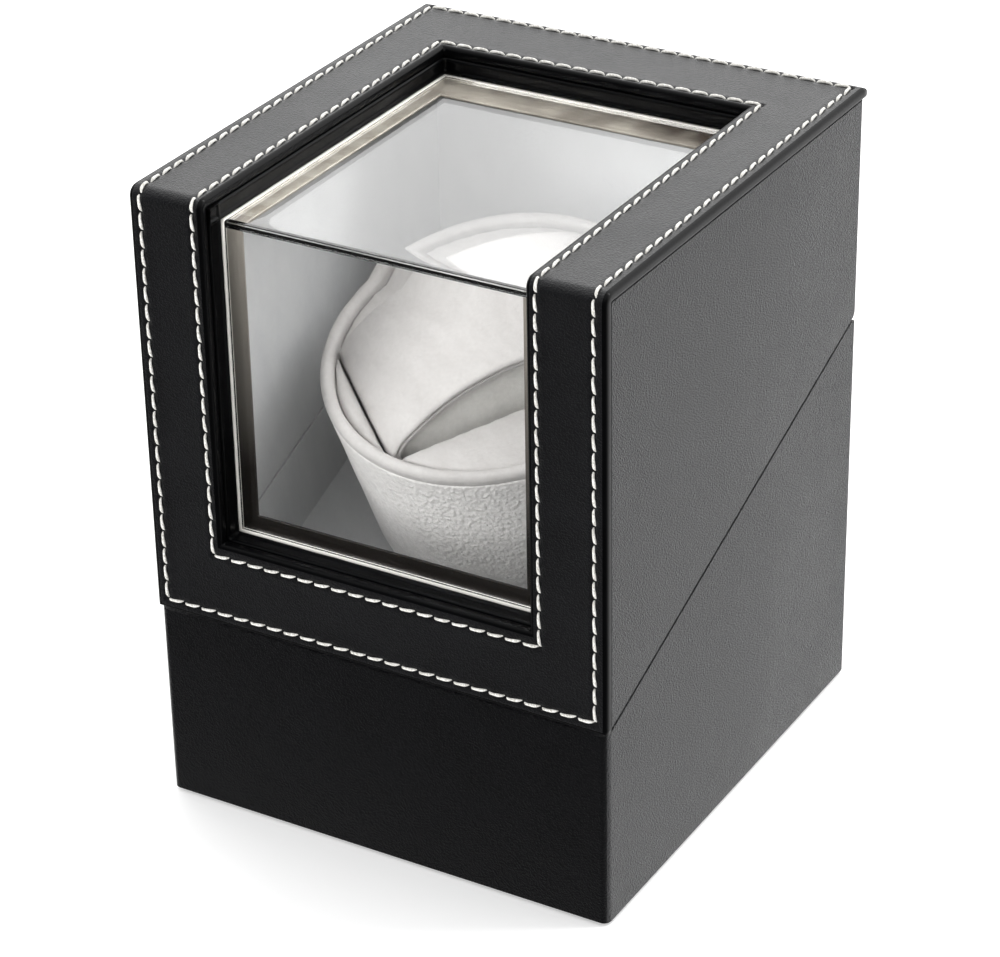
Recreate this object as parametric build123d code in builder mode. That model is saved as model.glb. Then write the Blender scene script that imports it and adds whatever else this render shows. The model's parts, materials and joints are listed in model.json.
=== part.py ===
from build123d import *
import os
from math import acos, atan2, cos, pi, radians, sin, tan

os.makedirs("parts", exist_ok=True)

# Single watch winder in a leather-covered box: a base and a hinged lid that meet on a sloping
# joint, and between them a padded cup on a slow geared drive.
# Millimetres. X runs to the right, Y to the back, Z up. The origin is under the middle of the
# box, on the surface that it stands on.

# ---------------------------------------------------------------- driving dimensions
# Box
WIDTH = 125.0                 # across the lid's face panel
DEPTH = 133.0                 # front of the face panel to its back edge
HEIGHT = 166.0
JOINT_FRONT = 53.4            # height of the joint between base and lid, at the front
JOINT_BACK = 105.7            # and at the back
JOINT_GAP = 0.8               # open line between the two rims
FACE_PROUD = 0.3              # the face panel stands out past the side walls
BASE_STEP = 0.65              # the base's front lies this far behind the face panel
HINGE_NOTCH = 2.3             # chamfer that makes room for the hinge knuckles

# Wall build-up
LEATHER = 0.8
BOARD = 4.7
LINER = 1.0
FELT = 1.0
FLOOR_BOARD = 4.0
WALL_CORNER = 2.0             # outer radius of the upright corners

# Face panel and window
PANEL = 3.0                   # leather and board of the L-shaped face panel
PANEL_BEND = 2.8
FRONT_BOARD = 4.2             # carcass board behind the panel
WINDOW_HALF = 42.3
WINDOW_BOTTOM = 76.5
WINDOW_BACK = 41.6
PANE = 2.0
PANE_BEND = 1.2
TRIM = 2.8
TRIM_LIP = 0.9                # bright line of trim between the pane and the opening's edge
TRIM_COVER = 5.7              # how far the trim reaches under the boards
TRIM_FLANGE = 4.4             # ledge behind the pane, at the sides and the bottom
TRIM_FLANGE_BACK = 9.9

# Cup and pillow, measured from the cup's rim along and across its axis
CUP_RIM = (0.0, -6.5, 114.5)
CUP_RADIUS = 44.0
CUP_DEPTH = 54.0
CUP_TAPER = 0.0685            # loss of radius per millimetre of depth
CUP_FLOOR_ROUND = 8.0
CUP_LEATHER = 0.9
CUP_WALL = 1.8
CUP_LINING = 0.6
CUP_RIM_BAND = 3.0
PILLOW_TURN = -42.0           # the wrist axis, from X, in the cup's plane
PILLOW_HALF_LENGTH = 20.5
PILLOW_BOTTOM = -36.0
PILLOW_SKIN = 3.0
PILLOW_RECESS = 0.8
SLOT_HALF = 21.0
SLOT_FLOOR = -36.3

# Deck and drive, levels along the cup's axis
DECK_TOP = -57.0
DECK_BOARD = 5.0
CASE_TOP = -63.0
CASE_WALL = 2.0
GEAR_TOP = -66.0
GEAR_FACE = 4.0
GEAR_STEP = 5.0
COVER_TOP = -82.0
MODULE = 0.5
PINION_TEETH = 12
WHEEL_TEETH = 42
PROFILE_SHIFT = 0.3
TOOTH_THINNING = 0.04
PRESSURE = radians(20)
PIN_RADIUS = 1.0
RUNNING = 0.05                # radial clearance of every running fit
SPINDLE_RADIUS = 4.0
SPINDLE_SEAT = 3.0
SPINDLE_END = 2.4
MOTOR_RADIUS = 12.2
MOTOR_LENGTH = 12.3
MOTOR_SHELL = 0.8

# Hinges
HINGE_X = 35.0
HINGE_WIDTH = 22.0
HINGE_LEAF = 0.8
HINGE_HEIGHT = 13.0
KNUCKLE_RADIUS = 1.8
KNUCKLE_SIDE = 6.0
KNUCKLE_GAP = 0.2
HINGE_PIN = 0.8
HINGE_Y = DEPTH / 2 + 1.0

# Electrics
CELL_RADIUS = 7.25
CELL_LENGTH = 50.5
CELL_Y = -41.0                # between the two cells
CELL_PITCH = 15.5
TRAY_HALF = (30.0, 17.2)
TRAY_TOP = 19.2
TRAY_WALL = 1.2
DOOR_LOW = 0.4
DOOR_THICK = 2.0
PLATE_Z = 20.0                # centre of the rear plate
PLATE_SIZE = (44.0, 20.0, 1.2)
PORT_SIZE = (28.0, 14.0)
JACK_X = -7.0
SWITCH_X = 7.2
KNOB_TRAVEL = 2.0
CIRCUIT = 1.6
CIRCUIT_SIZE = (48.0, 22.0)
CIRCUIT_FACE = 53.1           # back face of the circuit board
LEAD = 0.5                    # radius of the wires

# ---------------------------------------------------------------- derived places
FACE_Y = -DEPTH / 2
BACK_Y = DEPTH / 2 - FACE_PROUD
SIDE_X = WIDTH / 2 - FACE_PROUD
BASE_FRONT = FACE_Y + BASE_STEP
CARCASS_FRONT = FACE_Y + PANEL
CARCASS_TOP = HEIGHT - PANEL
PANE_Y = CARCASS_FRONT + FRONT_BOARD
PANE_Z = CARCASS_TOP - FRONT_BOARD
WALL = LEATHER + BOARD
INNER_X = SIDE_X - WALL
INNER_BACK = BACK_Y - WALL
INNER_FRONT = BASE_FRONT + WALL

SLOPE = (JOINT_BACK - JOINT_FRONT) / DEPTH
TILT = atan2(JOINT_BACK - JOINT_FRONT, DEPTH)
NORMAL = (0, -sin(TILT), cos(TILT))
JOINT = Plane(origin=(0, FACE_Y, JOINT_FRONT), x_dir=(1, 0, 0), z_dir=NORMAL)
CUP = Plane(origin=CUP_RIM, x_dir=(1, 0, 0), z_dir=NORMAL)
CUP_SECTION = Plane(origin=CUP_RIM, x_dir=(1, 0, 0), z_dir=(0, -cos(TILT), -sin(TILT)))
CUP_AXIS = Axis(CUP_RIM, NORMAL)
WRIST = CUP.x_dir * cos(radians(PILLOW_TURN)) + CUP.y_dir * sin(radians(PILLOW_TURN))
PILLOW = Plane(origin=CUP_RIM, x_dir=WRIST, z_dir=NORMAL)
PILLOW_END = Plane(origin=CUP_RIM, x_dir=PILLOW.y_dir, z_dir=WRIST)

CENTRES = MODULE * (PINION_TEETH + WHEEL_TEETH) / 2
SECOND_AXIS = (-CENTRES, 0)
FIRST_AXIS = (-CENTRES, CENTRES)
MOTOR_AXIS = (0, CENTRES)
CASE_CENTRE = (-CENTRES / 2, CENTRES / 2)
CASE_HALF = CENTRES / 2 + 13.4
GEAR_LEVELS = [GEAR_TOP - GEAR_STEP * i for i in range(3)]
COVER_LOW = COVER_TOP - CASE_WALL
MOTOR_LOW = COVER_LOW - MOTOR_LENGTH


def joint_z(y, lift):
    """Height of the sloping joint at a depth, moved out along its normal by lift."""
    return JOINT_FRONT + (y - FACE_Y) * SLOPE + lift / cos(TILT)


def save(piece, name):
    """Label a finished piece and write it to its own file."""
    piece.label = name
    export_step(piece, f"parts/{name}.step")


def block(low, high):
    """A plain block between two opposite corners."""
    size = [b - a for a, b in zip(low, high)]
    centre = tuple((a + b) / 2 for a, b in zip(low, high))
    with BuildPart() as solid:
        with Locations(centre):
            Box(*size)
    return solid.part


def across(outline, half_width, inset=0.0, corner=0.0):
    """A solid with a side outline of (y, z) points, drawn in by inset, that runs across the box."""
    with BuildPart() as solid:
        with BuildSketch(Plane.YZ):
            with BuildLine():
                Polyline(*outline, close=True)
            make_face()
            if inset:
                offset(amount=-inset, kind=Kind.INTERSECTION)
        extrude(amount=half_width - inset, both=True)
        if corner > inset:
            fillet(solid.edges().filter_by(Axis.Z), corner - inset)
    return solid.part


def base_outline():
    """Side outline of the base's covered walls."""
    lift = -JOINT_GAP / 2
    notch = BACK_Y - HINGE_NOTCH
    return [
        (BASE_FRONT, FELT),
        (BACK_Y, FELT),
        (BACK_Y, joint_z(BACK_Y, lift) - HINGE_NOTCH),
        (notch, joint_z(notch, lift)),
        (BASE_FRONT, joint_z(BASE_FRONT, lift)),
    ]


def lid_outline(front, top):
    """Side outline of the lid's walls, from a front and a top face."""
    lift = JOINT_GAP / 2
    notch = BACK_Y - HINGE_NOTCH
    return [
        (front, joint_z(front, lift)),
        (notch, joint_z(notch, lift)),
        (BACK_Y, joint_z(BACK_Y, lift) + HINGE_NOTCH),
        (BACK_Y, top),
        (front, top),
    ]


def inside_outline(front, back, low, high):
    """Upright outline between two depths and two heights."""
    return [(front, low), (back, low), (back, high), (front, high)]


def portion(solid, low, high):
    """The part of a solid that lies between two opposite corners."""
    size = [b - a for a, b in zip(low, high)]
    centre = tuple((a + b) / 2 for a, b in zip(low, high))
    with BuildPart() as piece:
        add(solid)
        with Locations(centre):
            Box(*size, mode=Mode.INTERSECT)
    return piece.part


# ---------------------------------------------------------------- screws into the walls
SCREW_RADIUS = 0.9
SCREW_HEAD = 1.9
HINGE_Z = JOINT_BACK
HINGE_SCREW = 6.0             # length of the hinge screws
HINGE_SCREW_LIFT = 8.5        # from the pin to the screws
HINGE_SCREW_PITCH = 12.0
PLATE_SCREW_X = 18.5
PLATE_SCREW = 5.0             # length of the rear plate's screws
PLATE_BACK = BACK_Y + PLATE_SIZE[2]
CASE_SCREW_HEAD = 1.8
CASE_SCREW_HEIGHT = 1.3


def behind(y):
    """Plane across the back of the box, seen from inside, centred on the rear plate."""
    return Plane(origin=(0, y, PLATE_Z), x_dir=(-1, 0, 0), z_dir=(0, 1, 0))


def hinge_screws(up):
    """Countersunk wood screws of both hinges, flush with the leaves."""
    with BuildPart() as screws:
        for centre_x in (-HINGE_X, HINGE_X):
            for x in (-HINGE_SCREW_PITCH / 2, HINGE_SCREW_PITCH / 2):
                place = (centre_x + x, BACK_Y + HINGE_LEAF, HINGE_Z + up * HINGE_SCREW_LIFT)
                with BuildSketch(Plane(origin=place, x_dir=(1, 0, 0), z_dir=(0, 0, 1))):
                    with BuildLine():
                        Polyline(
                            (0, 0),
                            (SCREW_HEAD, 0),
                            (SCREW_RADIUS, SCREW_RADIUS - SCREW_HEAD),
                            (SCREW_RADIUS, 1 - HINGE_SCREW),
                            (0, -HINGE_SCREW),
                            close=True,
                        )
                    make_face()
                revolve(axis=Axis(place, (0, 1, 0)))
    return screws.part


base_hinge_screws = hinge_screws(-1)
lid_hinge_screws = hinge_screws(1)

with BuildPart() as rear_plate_screws:
    for radius, level in ((CASE_SCREW_HEAD, 0.9), (SCREW_RADIUS, -PLATE_SCREW)):
        with BuildSketch(behind(PLATE_BACK)):
            with Locations((-PLATE_SCREW_X, 0), (PLATE_SCREW_X, 0)):
                Circle(radius)
        extrude(amount=level)
save(rear_plate_screws.part, "rear_plate_screws")

# ---------------------------------------------------------------- base walls
FAR = 200.0                   # well past every face

base_inside = across(inside_outline(INNER_FRONT, INNER_BACK, -FAR, FAR), INNER_X)
base_boards = across(base_outline(), SIDE_X, LEATHER, WALL_CORNER)
port = block(
    (-PORT_SIZE[0] / 2, INNER_BACK - LINER, PLATE_Z - PORT_SIZE[1] / 2),
    (PORT_SIZE[0] / 2, FAR, PLATE_Z + PORT_SIZE[1] / 2),
)

with BuildPart() as base_leather:
    add(across(base_outline(), SIDE_X, 0.0, WALL_CORNER))
    add(base_boards, mode=Mode.SUBTRACT)
    add(base_inside, mode=Mode.SUBTRACT)
    add(port, mode=Mode.SUBTRACT)
    add(base_hinge_screws, mode=Mode.SUBTRACT)
    add(rear_plate_screws.part, mode=Mode.SUBTRACT)
save(base_leather.part, "base_leather")

with BuildPart() as base_ring:
    add(base_boards)
    add(base_inside, mode=Mode.SUBTRACT)
    add(port, mode=Mode.SUBTRACT)
    add(base_hinge_screws, mode=Mode.SUBTRACT)
    add(rear_plate_screws.part, mode=Mode.SUBTRACT)

BASE_BOARDS = {
    "base_front_board": ((-FAR, -FAR, -FAR), (FAR, INNER_FRONT, FAR)),
    "base_back_board": ((-FAR, INNER_BACK, -FAR), (FAR, FAR, FAR)),
    "base_left_board": ((-FAR, INNER_FRONT, -FAR), (-INNER_X, INNER_BACK, FAR)),
    "base_right_board": ((INNER_X, INNER_FRONT, -FAR), (FAR, INNER_BACK, FAR)),
}
for name, corners in BASE_BOARDS.items():
    save(portion(base_ring.part, *corners), name)

with BuildPart() as base_bottom_board:
    with BuildSketch(Plane.XY.offset(FELT + LEATHER)):
        with Locations((0, (INNER_FRONT + INNER_BACK) / 2)):
            Rectangle(2 * INNER_X, INNER_BACK - INNER_FRONT)
        with Locations((0, CELL_Y)):
            Rectangle(2 * TRAY_HALF[0], 2 * TRAY_HALF[1], mode=Mode.SUBTRACT)
    extrude(amount=FLOOR_BOARD)
save(base_bottom_board.part, "base_bottom_board")

FELT_INSET = 2.2
with BuildPart() as bottom_felt:
    with BuildSketch():
        with Locations((0, (BASE_FRONT + BACK_Y) / 2)):
            RectangleRounded(
                2 * (SIDE_X - FELT_INSET), BACK_Y - BASE_FRONT - 2 * FELT_INSET, WALL_CORNER
            )
        with Locations((0, CELL_Y)):
            Rectangle(2 * TRAY_HALF[0], 2 * TRAY_HALF[1], mode=Mode.SUBTRACT)
    extrude(amount=FELT)
save(bottom_felt.part, "bottom_felt")

# Velvet on the inside of the base, from the deck up to the rim
with BuildPart() as base_liner:
    add(across(inside_outline(INNER_FRONT, INNER_BACK, -FAR, FAR), INNER_X))
    add(
        across(inside_outline(INNER_FRONT + LINER, INNER_BACK - LINER, -FAR, FAR), INNER_X - LINER),
        mode=Mode.SUBTRACT,
    )
    split(bisect_by=JOINT.offset(-JOINT_GAP / 2), keep=Keep.BOTTOM)
    split(bisect_by=CUP.offset(DECK_TOP), keep=Keep.TOP)
save(base_liner.part, "base_liner")

# ---------------------------------------------------------------- deck
BUSH_FLANGE = 9.0
BUSH_RADIUS = 6.5
EAR = 5.0                     # ears of the gear case, screwed up into the deck
EAR_SCREWS = [
    (CASE_CENTRE[0] + i * (CASE_HALF + EAR / 2), CASE_CENTRE[1] + j * (CASE_HALF - EAR))
    for i in (-1, 1)
    for j in (-1, 1)
]
POST = CASE_HALF - CASE_WALL - 1.5
COVER_SCREWS = [
    (CASE_CENTRE[0] + i * POST, CASE_CENTRE[1] + j * POST) for i in (-1, 1) for j in (-1, 1)
]
EAR_SCREW_TIP = CASE_TOP + 4.0

with BuildPart() as deck_board:
    add(base_inside)
    split(bisect_by=CUP.offset(CASE_TOP + DECK_BOARD), keep=Keep.BOTTOM)
    split(bisect_by=CUP.offset(CASE_TOP), keep=Keep.TOP)
    with BuildSketch(CUP.offset(CASE_TOP)):
        Circle(BUSH_RADIUS)
    extrude(amount=DECK_BOARD, mode=Mode.SUBTRACT)
    with BuildSketch(CUP.offset(CASE_TOP)):
        with Locations(*EAR_SCREWS):
            Circle(SCREW_RADIUS)
    extrude(amount=EAR_SCREW_TIP - CASE_TOP, mode=Mode.SUBTRACT)
save(deck_board.part, "deck_board")

with BuildPart() as deck_velvet:
    add(across(inside_outline(INNER_FRONT, INNER_BACK, -FAR, FAR), INNER_X))
    split(bisect_by=CUP.offset(DECK_TOP), keep=Keep.BOTTOM)
    split(bisect_by=CUP.offset(CASE_TOP + DECK_BOARD), keep=Keep.TOP)
    with BuildSketch(CUP.offset(CASE_TOP + DECK_BOARD)):
        Circle(BUSH_FLANGE)
    extrude(amount=LINER, mode=Mode.SUBTRACT)
save(deck_velvet.part, "deck_velvet")

CLEAT = 6.0
CLEAT_LENGTH = 90.0
CLEAT_SHIFT = -5.0              # down the slope of the deck
with BuildPart() as deck_cleats:
    for side in (-1, 1):
        with BuildSketch(CUP.offset(CASE_TOP)):
            with Locations((side * (INNER_X - CLEAT / 2), CLEAT_SHIFT)):
                Rectangle(CLEAT, CLEAT_LENGTH)
        extrude(amount=-CLEAT)
save(deck_cleats.part, "deck_cleats")

# ---------------------------------------------------------------- lid
lid_inside = across(inside_outline(PANE_Y, INNER_BACK, -FAR, PANE_Z), INNER_X)
carcass_outline = lid_outline(CARCASS_FRONT - LEATHER, CARCASS_TOP + LEATHER)
lid_boards = across(carcass_outline, SIDE_X, LEATHER)
window = block((-WINDOW_HALF, -FAR, WINDOW_BOTTOM), (WINDOW_HALF, WINDOW_BACK, FAR))

with BuildPart() as lid_leather:
    add(across(lid_outline(CARCASS_FRONT, CARCASS_TOP), SIDE_X))
    fillet(lid_leather.edges().filter_by(Axis.Z).group_by(Axis.Y)[-1], WALL_CORNER)
    add(lid_boards, mode=Mode.SUBTRACT)
    add(across(inside_outline(-FAR, INNER_BACK, -FAR, FAR), INNER_X), mode=Mode.SUBTRACT)
    add(lid_hinge_screws, mode=Mode.SUBTRACT)
save(lid_leather.part, "lid_leather")

with BuildPart() as lid_ring:
    add(lid_boards)
    add(lid_inside, mode=Mode.SUBTRACT)
    add(window, mode=Mode.SUBTRACT)
    add(lid_hinge_screws, mode=Mode.SUBTRACT)

LID_BOARDS = {
    "lid_front_board": ((-FAR, -FAR, -FAR), (FAR, PANE_Y, FAR)),
    "lid_top_board": ((-FAR, PANE_Y, PANE_Z), (FAR, FAR, FAR)),
    "lid_back_board": ((-INNER_X, INNER_BACK, -FAR), (INNER_X, FAR, PANE_Z)),
    "lid_left_board": ((-FAR, PANE_Y, -FAR), (-INNER_X, FAR, PANE_Z)),
    "lid_right_board": ((INNER_X, PANE_Y, -FAR), (FAR, FAR, PANE_Z)),
}
for name, corners in LID_BOARDS.items():
    save(portion(lid_ring.part, *corners), name)


def bent_sheet(outer, thick, back, low, half_width, bend):
    """An L-shaped sheet: a front leg, a bend and a top leg. outer is (front y, top z)."""
    front, top = outer
    with BuildPart() as sheet:
        with BuildSketch(Plane.YZ) as profile:
            with BuildLine():
                Polyline(
                    (front, low),
                    (front, top),
                    (back, top),
                    (back, top - thick),
                    (front + thick, top - thick),
                    (front + thick, low),
                    close=True,
                )
            make_face()
            fillet(profile.vertices().sort_by_distance((front, top))[0], bend)
        extrude(amount=half_width, both=True)
    return sheet.part


def opening(margin):
    """The window's way through the face panel, widened by margin."""
    return block(
        (-WINDOW_HALF - margin, -FAR, WINDOW_BOTTOM - margin),
        (WINDOW_HALF + margin, WINDOW_BACK + margin, FAR),
    )


panel_board = bent_sheet(
    (FACE_Y + LEATHER, HEIGHT - LEATHER),
    PANEL - LEATHER,
    DEPTH / 2 - LEATHER,
    0.0,
    WIDTH / 2 - LEATHER,
    PANEL_BEND - LEATHER,
)

with BuildPart() as face_panel_board:
    add(panel_board)
    split(bisect_by=JOINT.offset(JOINT_GAP / 2 + LEATHER), keep=Keep.TOP)
    add(opening(LEATHER), mode=Mode.SUBTRACT)
save(face_panel_board.part, "face_panel_board")

with BuildPart() as face_leather:
    add(bent_sheet((FACE_Y, HEIGHT), PANEL, DEPTH / 2, 0.0, WIDTH / 2, PANEL_BEND))
    split(bisect_by=JOINT.offset(JOINT_GAP / 2), keep=Keep.TOP)
    add(opening(0.0), mode=Mode.SUBTRACT)
    add(face_panel_board.part, mode=Mode.SUBTRACT)
save(face_leather.part, "face_leather")

# The pane lies in a rebate of the trim, behind the boards' edges
PANE_HALF = WINDOW_HALF - TRIM_LIP
PANE_LOW = WINDOW_BOTTOM + TRIM_LIP
PANE_BACK = WINDOW_BACK - TRIM_LIP
PANE_PLAY = 0.05
pane_outer = (PANE_Y, PANE_Z)

with BuildPart() as window_pane:
    add(
        bent_sheet(
            pane_outer,
            PANE,
            PANE_BACK - PANE_PLAY,
            PANE_LOW + PANE_PLAY,
            PANE_HALF - PANE_PLAY,
            PANE_BEND,
        )
    )
save(window_pane.part, "window_pane")

TRIM_HALF = WINDOW_HALF + TRIM_COVER
TRIM_LOW = WINDOW_BOTTOM - TRIM_COVER
TRIM_BACK = WINDOW_BACK + TRIM_COVER
with BuildPart() as window_trim:
    add(bent_sheet(pane_outer, TRIM, TRIM_BACK, TRIM_LOW, TRIM_HALF, PANE_BEND))
    add(bent_sheet(pane_outer, PANE, PANE_BACK, PANE_LOW, PANE_HALF, PANE_BEND), mode=Mode.SUBTRACT)
    add(
        block(
            (TRIM_FLANGE - PANE_HALF, -FAR, PANE_LOW + TRIM_FLANGE),
            (PANE_HALF - TRIM_FLANGE, PANE_BACK - TRIM_FLANGE_BACK, FAR),
        ),
        mode=Mode.SUBTRACT,
    )
save(window_trim.part, "window_trim")

trim_seat = block((-TRIM_HALF, -FAR, TRIM_LOW), (TRIM_HALF, TRIM_BACK, FAR))
with BuildPart() as lid_liner:
    add(lid_inside)
    add(
        across(
            inside_outline(PANE_Y + LINER, INNER_BACK - LINER, -FAR, PANE_Z - LINER),
            INNER_X - LINER,
        ),
        mode=Mode.SUBTRACT,
    )
    split(bisect_by=JOINT.offset(JOINT_GAP / 2), keep=Keep.TOP)
    add(trim_seat, mode=Mode.SUBTRACT)
save(lid_liner.part, "lid_liner")

# ---------------------------------------------------------------- hinges
KNUCKLE_CLEAR = 0.3
LID_KNUCKLE = HINGE_WIDTH - 2 * KNUCKLE_SIDE - 2 * KNUCKLE_GAP
BASE_KNUCKLES = [side * (HINGE_WIDTH - KNUCKLE_SIDE) / 2 for side in (-1, 1)]


def hinge_leaf(centre_x, up, knuckles, length, bore):
    """One leaf with its knuckles; up is 1 for the lid's leaf and -1 for the base's."""
    first = KNUCKLE_RADIUS + KNUCKLE_CLEAR
    leaf_y = BACK_Y + HINGE_LEAF / 2
    with BuildPart() as leaf:
        with Locations((centre_x, leaf_y, HINGE_Z + up * (first + HINGE_HEIGHT) / 2)):
            Box(HINGE_WIDTH, HINGE_LEAF, HINGE_HEIGHT - first)
        for x in knuckles:
            with Locations((centre_x + x, leaf_y, HINGE_Z + up * first / 2)):
                Box(length, HINGE_LEAF, first)
            with BuildSketch(Plane.YZ.offset(centre_x + x)):
                with Locations((HINGE_Y, HINGE_Z)):
                    Circle(KNUCKLE_RADIUS)
            extrude(amount=length / 2, both=True)
        with BuildSketch(Plane.YZ.offset(centre_x)):
            with Locations((HINGE_Y, HINGE_Z)):
                Circle(bore)
        extrude(amount=HINGE_WIDTH, both=True, mode=Mode.SUBTRACT)
        for x in (-HINGE_SCREW_PITCH / 2, HINGE_SCREW_PITCH / 2):
            place = (centre_x + x, BACK_Y + HINGE_LEAF, HINGE_Z + up * HINGE_SCREW_LIFT)
            with Locations(Plane(origin=place, z_dir=(0, 1, 0))):
                CounterSinkHole(SCREW_RADIUS, SCREW_HEAD)
    return leaf.part


with BuildPart() as hinge_base_leaves:
    for x in (-HINGE_X, HINGE_X):
        add(hinge_leaf(x, -1, BASE_KNUCKLES, KNUCKLE_SIDE, HINGE_PIN))
save(hinge_base_leaves.part, "hinge_base_leaves")

with BuildPart() as hinge_lid_leaves:
    for x in (-HINGE_X, HINGE_X):
        add(hinge_leaf(x, 1, [0.0], LID_KNUCKLE, HINGE_PIN + RUNNING))
save(hinge_lid_leaves.part, "hinge_lid_leaves")

save(base_hinge_screws, "hinge_base_screws")
save(lid_hinge_screws, "hinge_lid_screws")

with BuildPart() as hinge_pins:
    for x in (-HINGE_X, HINGE_X):
        with BuildSketch(Plane.YZ.offset(x)):
            with Locations((HINGE_Y, HINGE_Z)):
                Circle(HINGE_PIN)
        extrude(amount=HINGE_WIDTH / 2, both=True)
save(hinge_pins.part, "hinge_pins")


# ---------------------------------------------------------------- cup
def cup_form(inset, top):
    """The cup as a solid of revolution, side and floor drawn in by inset, up to a level."""
    low = inset - CUP_DEPTH
    with BuildPart() as form:
        with BuildSketch(CUP_SECTION) as section:
            with BuildLine():
                Polyline(
                    (0, top),
                    (CUP_RADIUS + CUP_TAPER * top - inset, top),
                    (CUP_RADIUS + CUP_TAPER * low - inset, low),
                    (0, low),
                    close=True,
                )
            make_face()
            fillet(section.vertices().sort_by_distance((FAR, low))[0], CUP_FLOOR_ROUND - inset)
        revolve(axis=CUP_AXIS)
    return form.part


def disc(radius, top, low, centre=(0, 0)):
    """A round block along the cup's axis, between two levels."""
    with BuildPart() as solid:
        with BuildSketch(CUP.offset(top)):
            with Locations(centre):
                Circle(radius)
        extrude(amount=low - top)
    return solid.part


SHELL_TOP = -1.0
SHELL_OUT = CUP_LEATHER
SHELL_IN = CUP_LEATHER + CUP_WALL
LINING_IN = SHELL_IN + CUP_LINING
TURNTABLE_RADIUS = 24.0
TURNTABLE_GAP = 0.5
TURNTABLE_EASE = 1.0            # the disc is this much smaller than the hole in the cover
CUP_SCREW = 1.5
CUP_SCREW_HEAD = 3.0
SHELL_LOW = SHELL_OUT - CUP_DEPTH
SHELL_FLOOR = SHELL_IN - CUP_DEPTH

with BuildPart() as cup_cover:
    add(cup_form(0.0, -CUP_RIM_BAND))
    add(cup_form(CUP_LEATHER, 1.0), mode=Mode.SUBTRACT)
    add(disc(TURNTABLE_RADIUS, 0.0, -FAR), mode=Mode.SUBTRACT)
save(cup_cover.part, "cup_cover")

with BuildPart() as cup_shell:
    add(cup_form(SHELL_OUT, SHELL_TOP))
    add(cup_form(SHELL_IN, 1.0), mode=Mode.SUBTRACT)
    add(disc(CUP_SCREW, 0.0, -FAR), mode=Mode.SUBTRACT)
save(cup_shell.part, "cup_shell")

RIM_ROUND = 1.4
LINING_FLOOR = LINING_IN - CUP_DEPTH


def cup_point(inset, level):
    """A point of the cup's wall in its section, drawn in by inset."""
    return (CUP_RADIUS + CUP_TAPER * level - inset, level)


# Velvet that lines the cup's floor and side, folds over the rim and ends in a band outside it
with BuildPart() as cup_lining:
    with BuildSketch(CUP_SECTION) as lining_section:
        with BuildLine():
            Polyline(
                cup_point(0.0, -CUP_RIM_BAND),
                cup_point(0.0, 0.0),
                cup_point(LINING_IN, 0.0),
                cup_point(LINING_IN, LINING_FLOOR),
                (CUP_SCREW_HEAD, LINING_FLOOR),
                (CUP_SCREW_HEAD, SHELL_FLOOR),
                cup_point(SHELL_IN, SHELL_FLOOR),
                cup_point(SHELL_IN, SHELL_TOP),
                cup_point(SHELL_OUT, SHELL_TOP),
                cup_point(SHELL_OUT, -CUP_RIM_BAND),
                close=True,
            )
        make_face()
        for point, radius in (
            (cup_point(0.0, 0.0), RIM_ROUND),
            (cup_point(LINING_IN, 0.0), RIM_ROUND),
            (cup_point(LINING_IN, LINING_FLOOR), CUP_FLOOR_ROUND - LINING_IN),
            (cup_point(SHELL_IN, SHELL_FLOOR), CUP_FLOOR_ROUND - SHELL_IN),
        ):
            fillet(lining_section.vertices().sort_by_distance(point)[0], radius)
    revolve(axis=CUP_AXIS)
save(cup_lining.part, "cup_lining")

INSERT_PLAY = 0.1
INSERT_TOP = -1.0
INSERT_EASE = 1.5
INSERT_LOW = LINING_IN - CUP_DEPTH + 2.4
with BuildPart() as cup_insert:
    add(cup_form(LINING_IN + INSERT_PLAY, INSERT_TOP))
    split(bisect_by=CUP.offset(INSERT_LOW), keep=Keep.TOP)
    with BuildSketch(PILLOW.offset(SLOT_FLOOR)):
        Rectangle(2 * SLOT_HALF, 2 * CUP_RADIUS)
    extrude(amount=CUP_DEPTH, mode=Mode.SUBTRACT)
    fillet(cup_insert.faces().sort_by(CUP_AXIS)[-2:].edges(), INSERT_EASE)
save(cup_insert.part, "cup_insert")

DISC_TOP = SHELL_LOW
DISC_LOW = DECK_TOP + TURNTABLE_GAP
with BuildPart() as turntable_disc:
    add(disc(TURNTABLE_RADIUS - TURNTABLE_EASE, DISC_TOP, DISC_LOW))
    add(disc(SPINDLE_RADIUS, DISC_TOP, DISC_LOW), mode=Mode.SUBTRACT)
save(turntable_disc.part, "turntable_disc")

SEAT_PLAY = 0.5
SEAT_TOP = GEAR_TOP + SEAT_PLAY
SEAT_LOW = GEAR_TOP - GEAR_FACE - SEAT_PLAY
SCREW_TIP = -61.0
with BuildPart() as spindle:
    add(disc(SPINDLE_RADIUS, DISC_TOP, SEAT_TOP))
    add(disc(SPINDLE_SEAT, SEAT_TOP, SEAT_LOW))
    add(disc(SPINDLE_END, SEAT_LOW, COVER_LOW))
    add(disc(CUP_SCREW, DISC_TOP, SCREW_TIP), mode=Mode.SUBTRACT)
save(spindle.part, "spindle")

CROSS_SLOT = (4.2, 0.8, 1.1)    # length, width and depth
CUP_SCREW_TOP = SHELL_FLOOR + 1.8
with BuildPart() as cup_screw:
    add(disc(CUP_SCREW, SHELL_FLOOR, SCREW_TIP))
    add(disc(CUP_SCREW_HEAD, CUP_SCREW_TOP, SHELL_FLOOR))
    with BuildSketch(CUP.offset(CUP_SCREW_TOP)):
        for turn in (0, 90):
            Rectangle(CROSS_SLOT[0], CROSS_SLOT[1], rotation=turn)
    extrude(amount=-CROSS_SLOT[2], mode=Mode.SUBTRACT)
save(cup_screw.part, "cup_screw")

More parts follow.
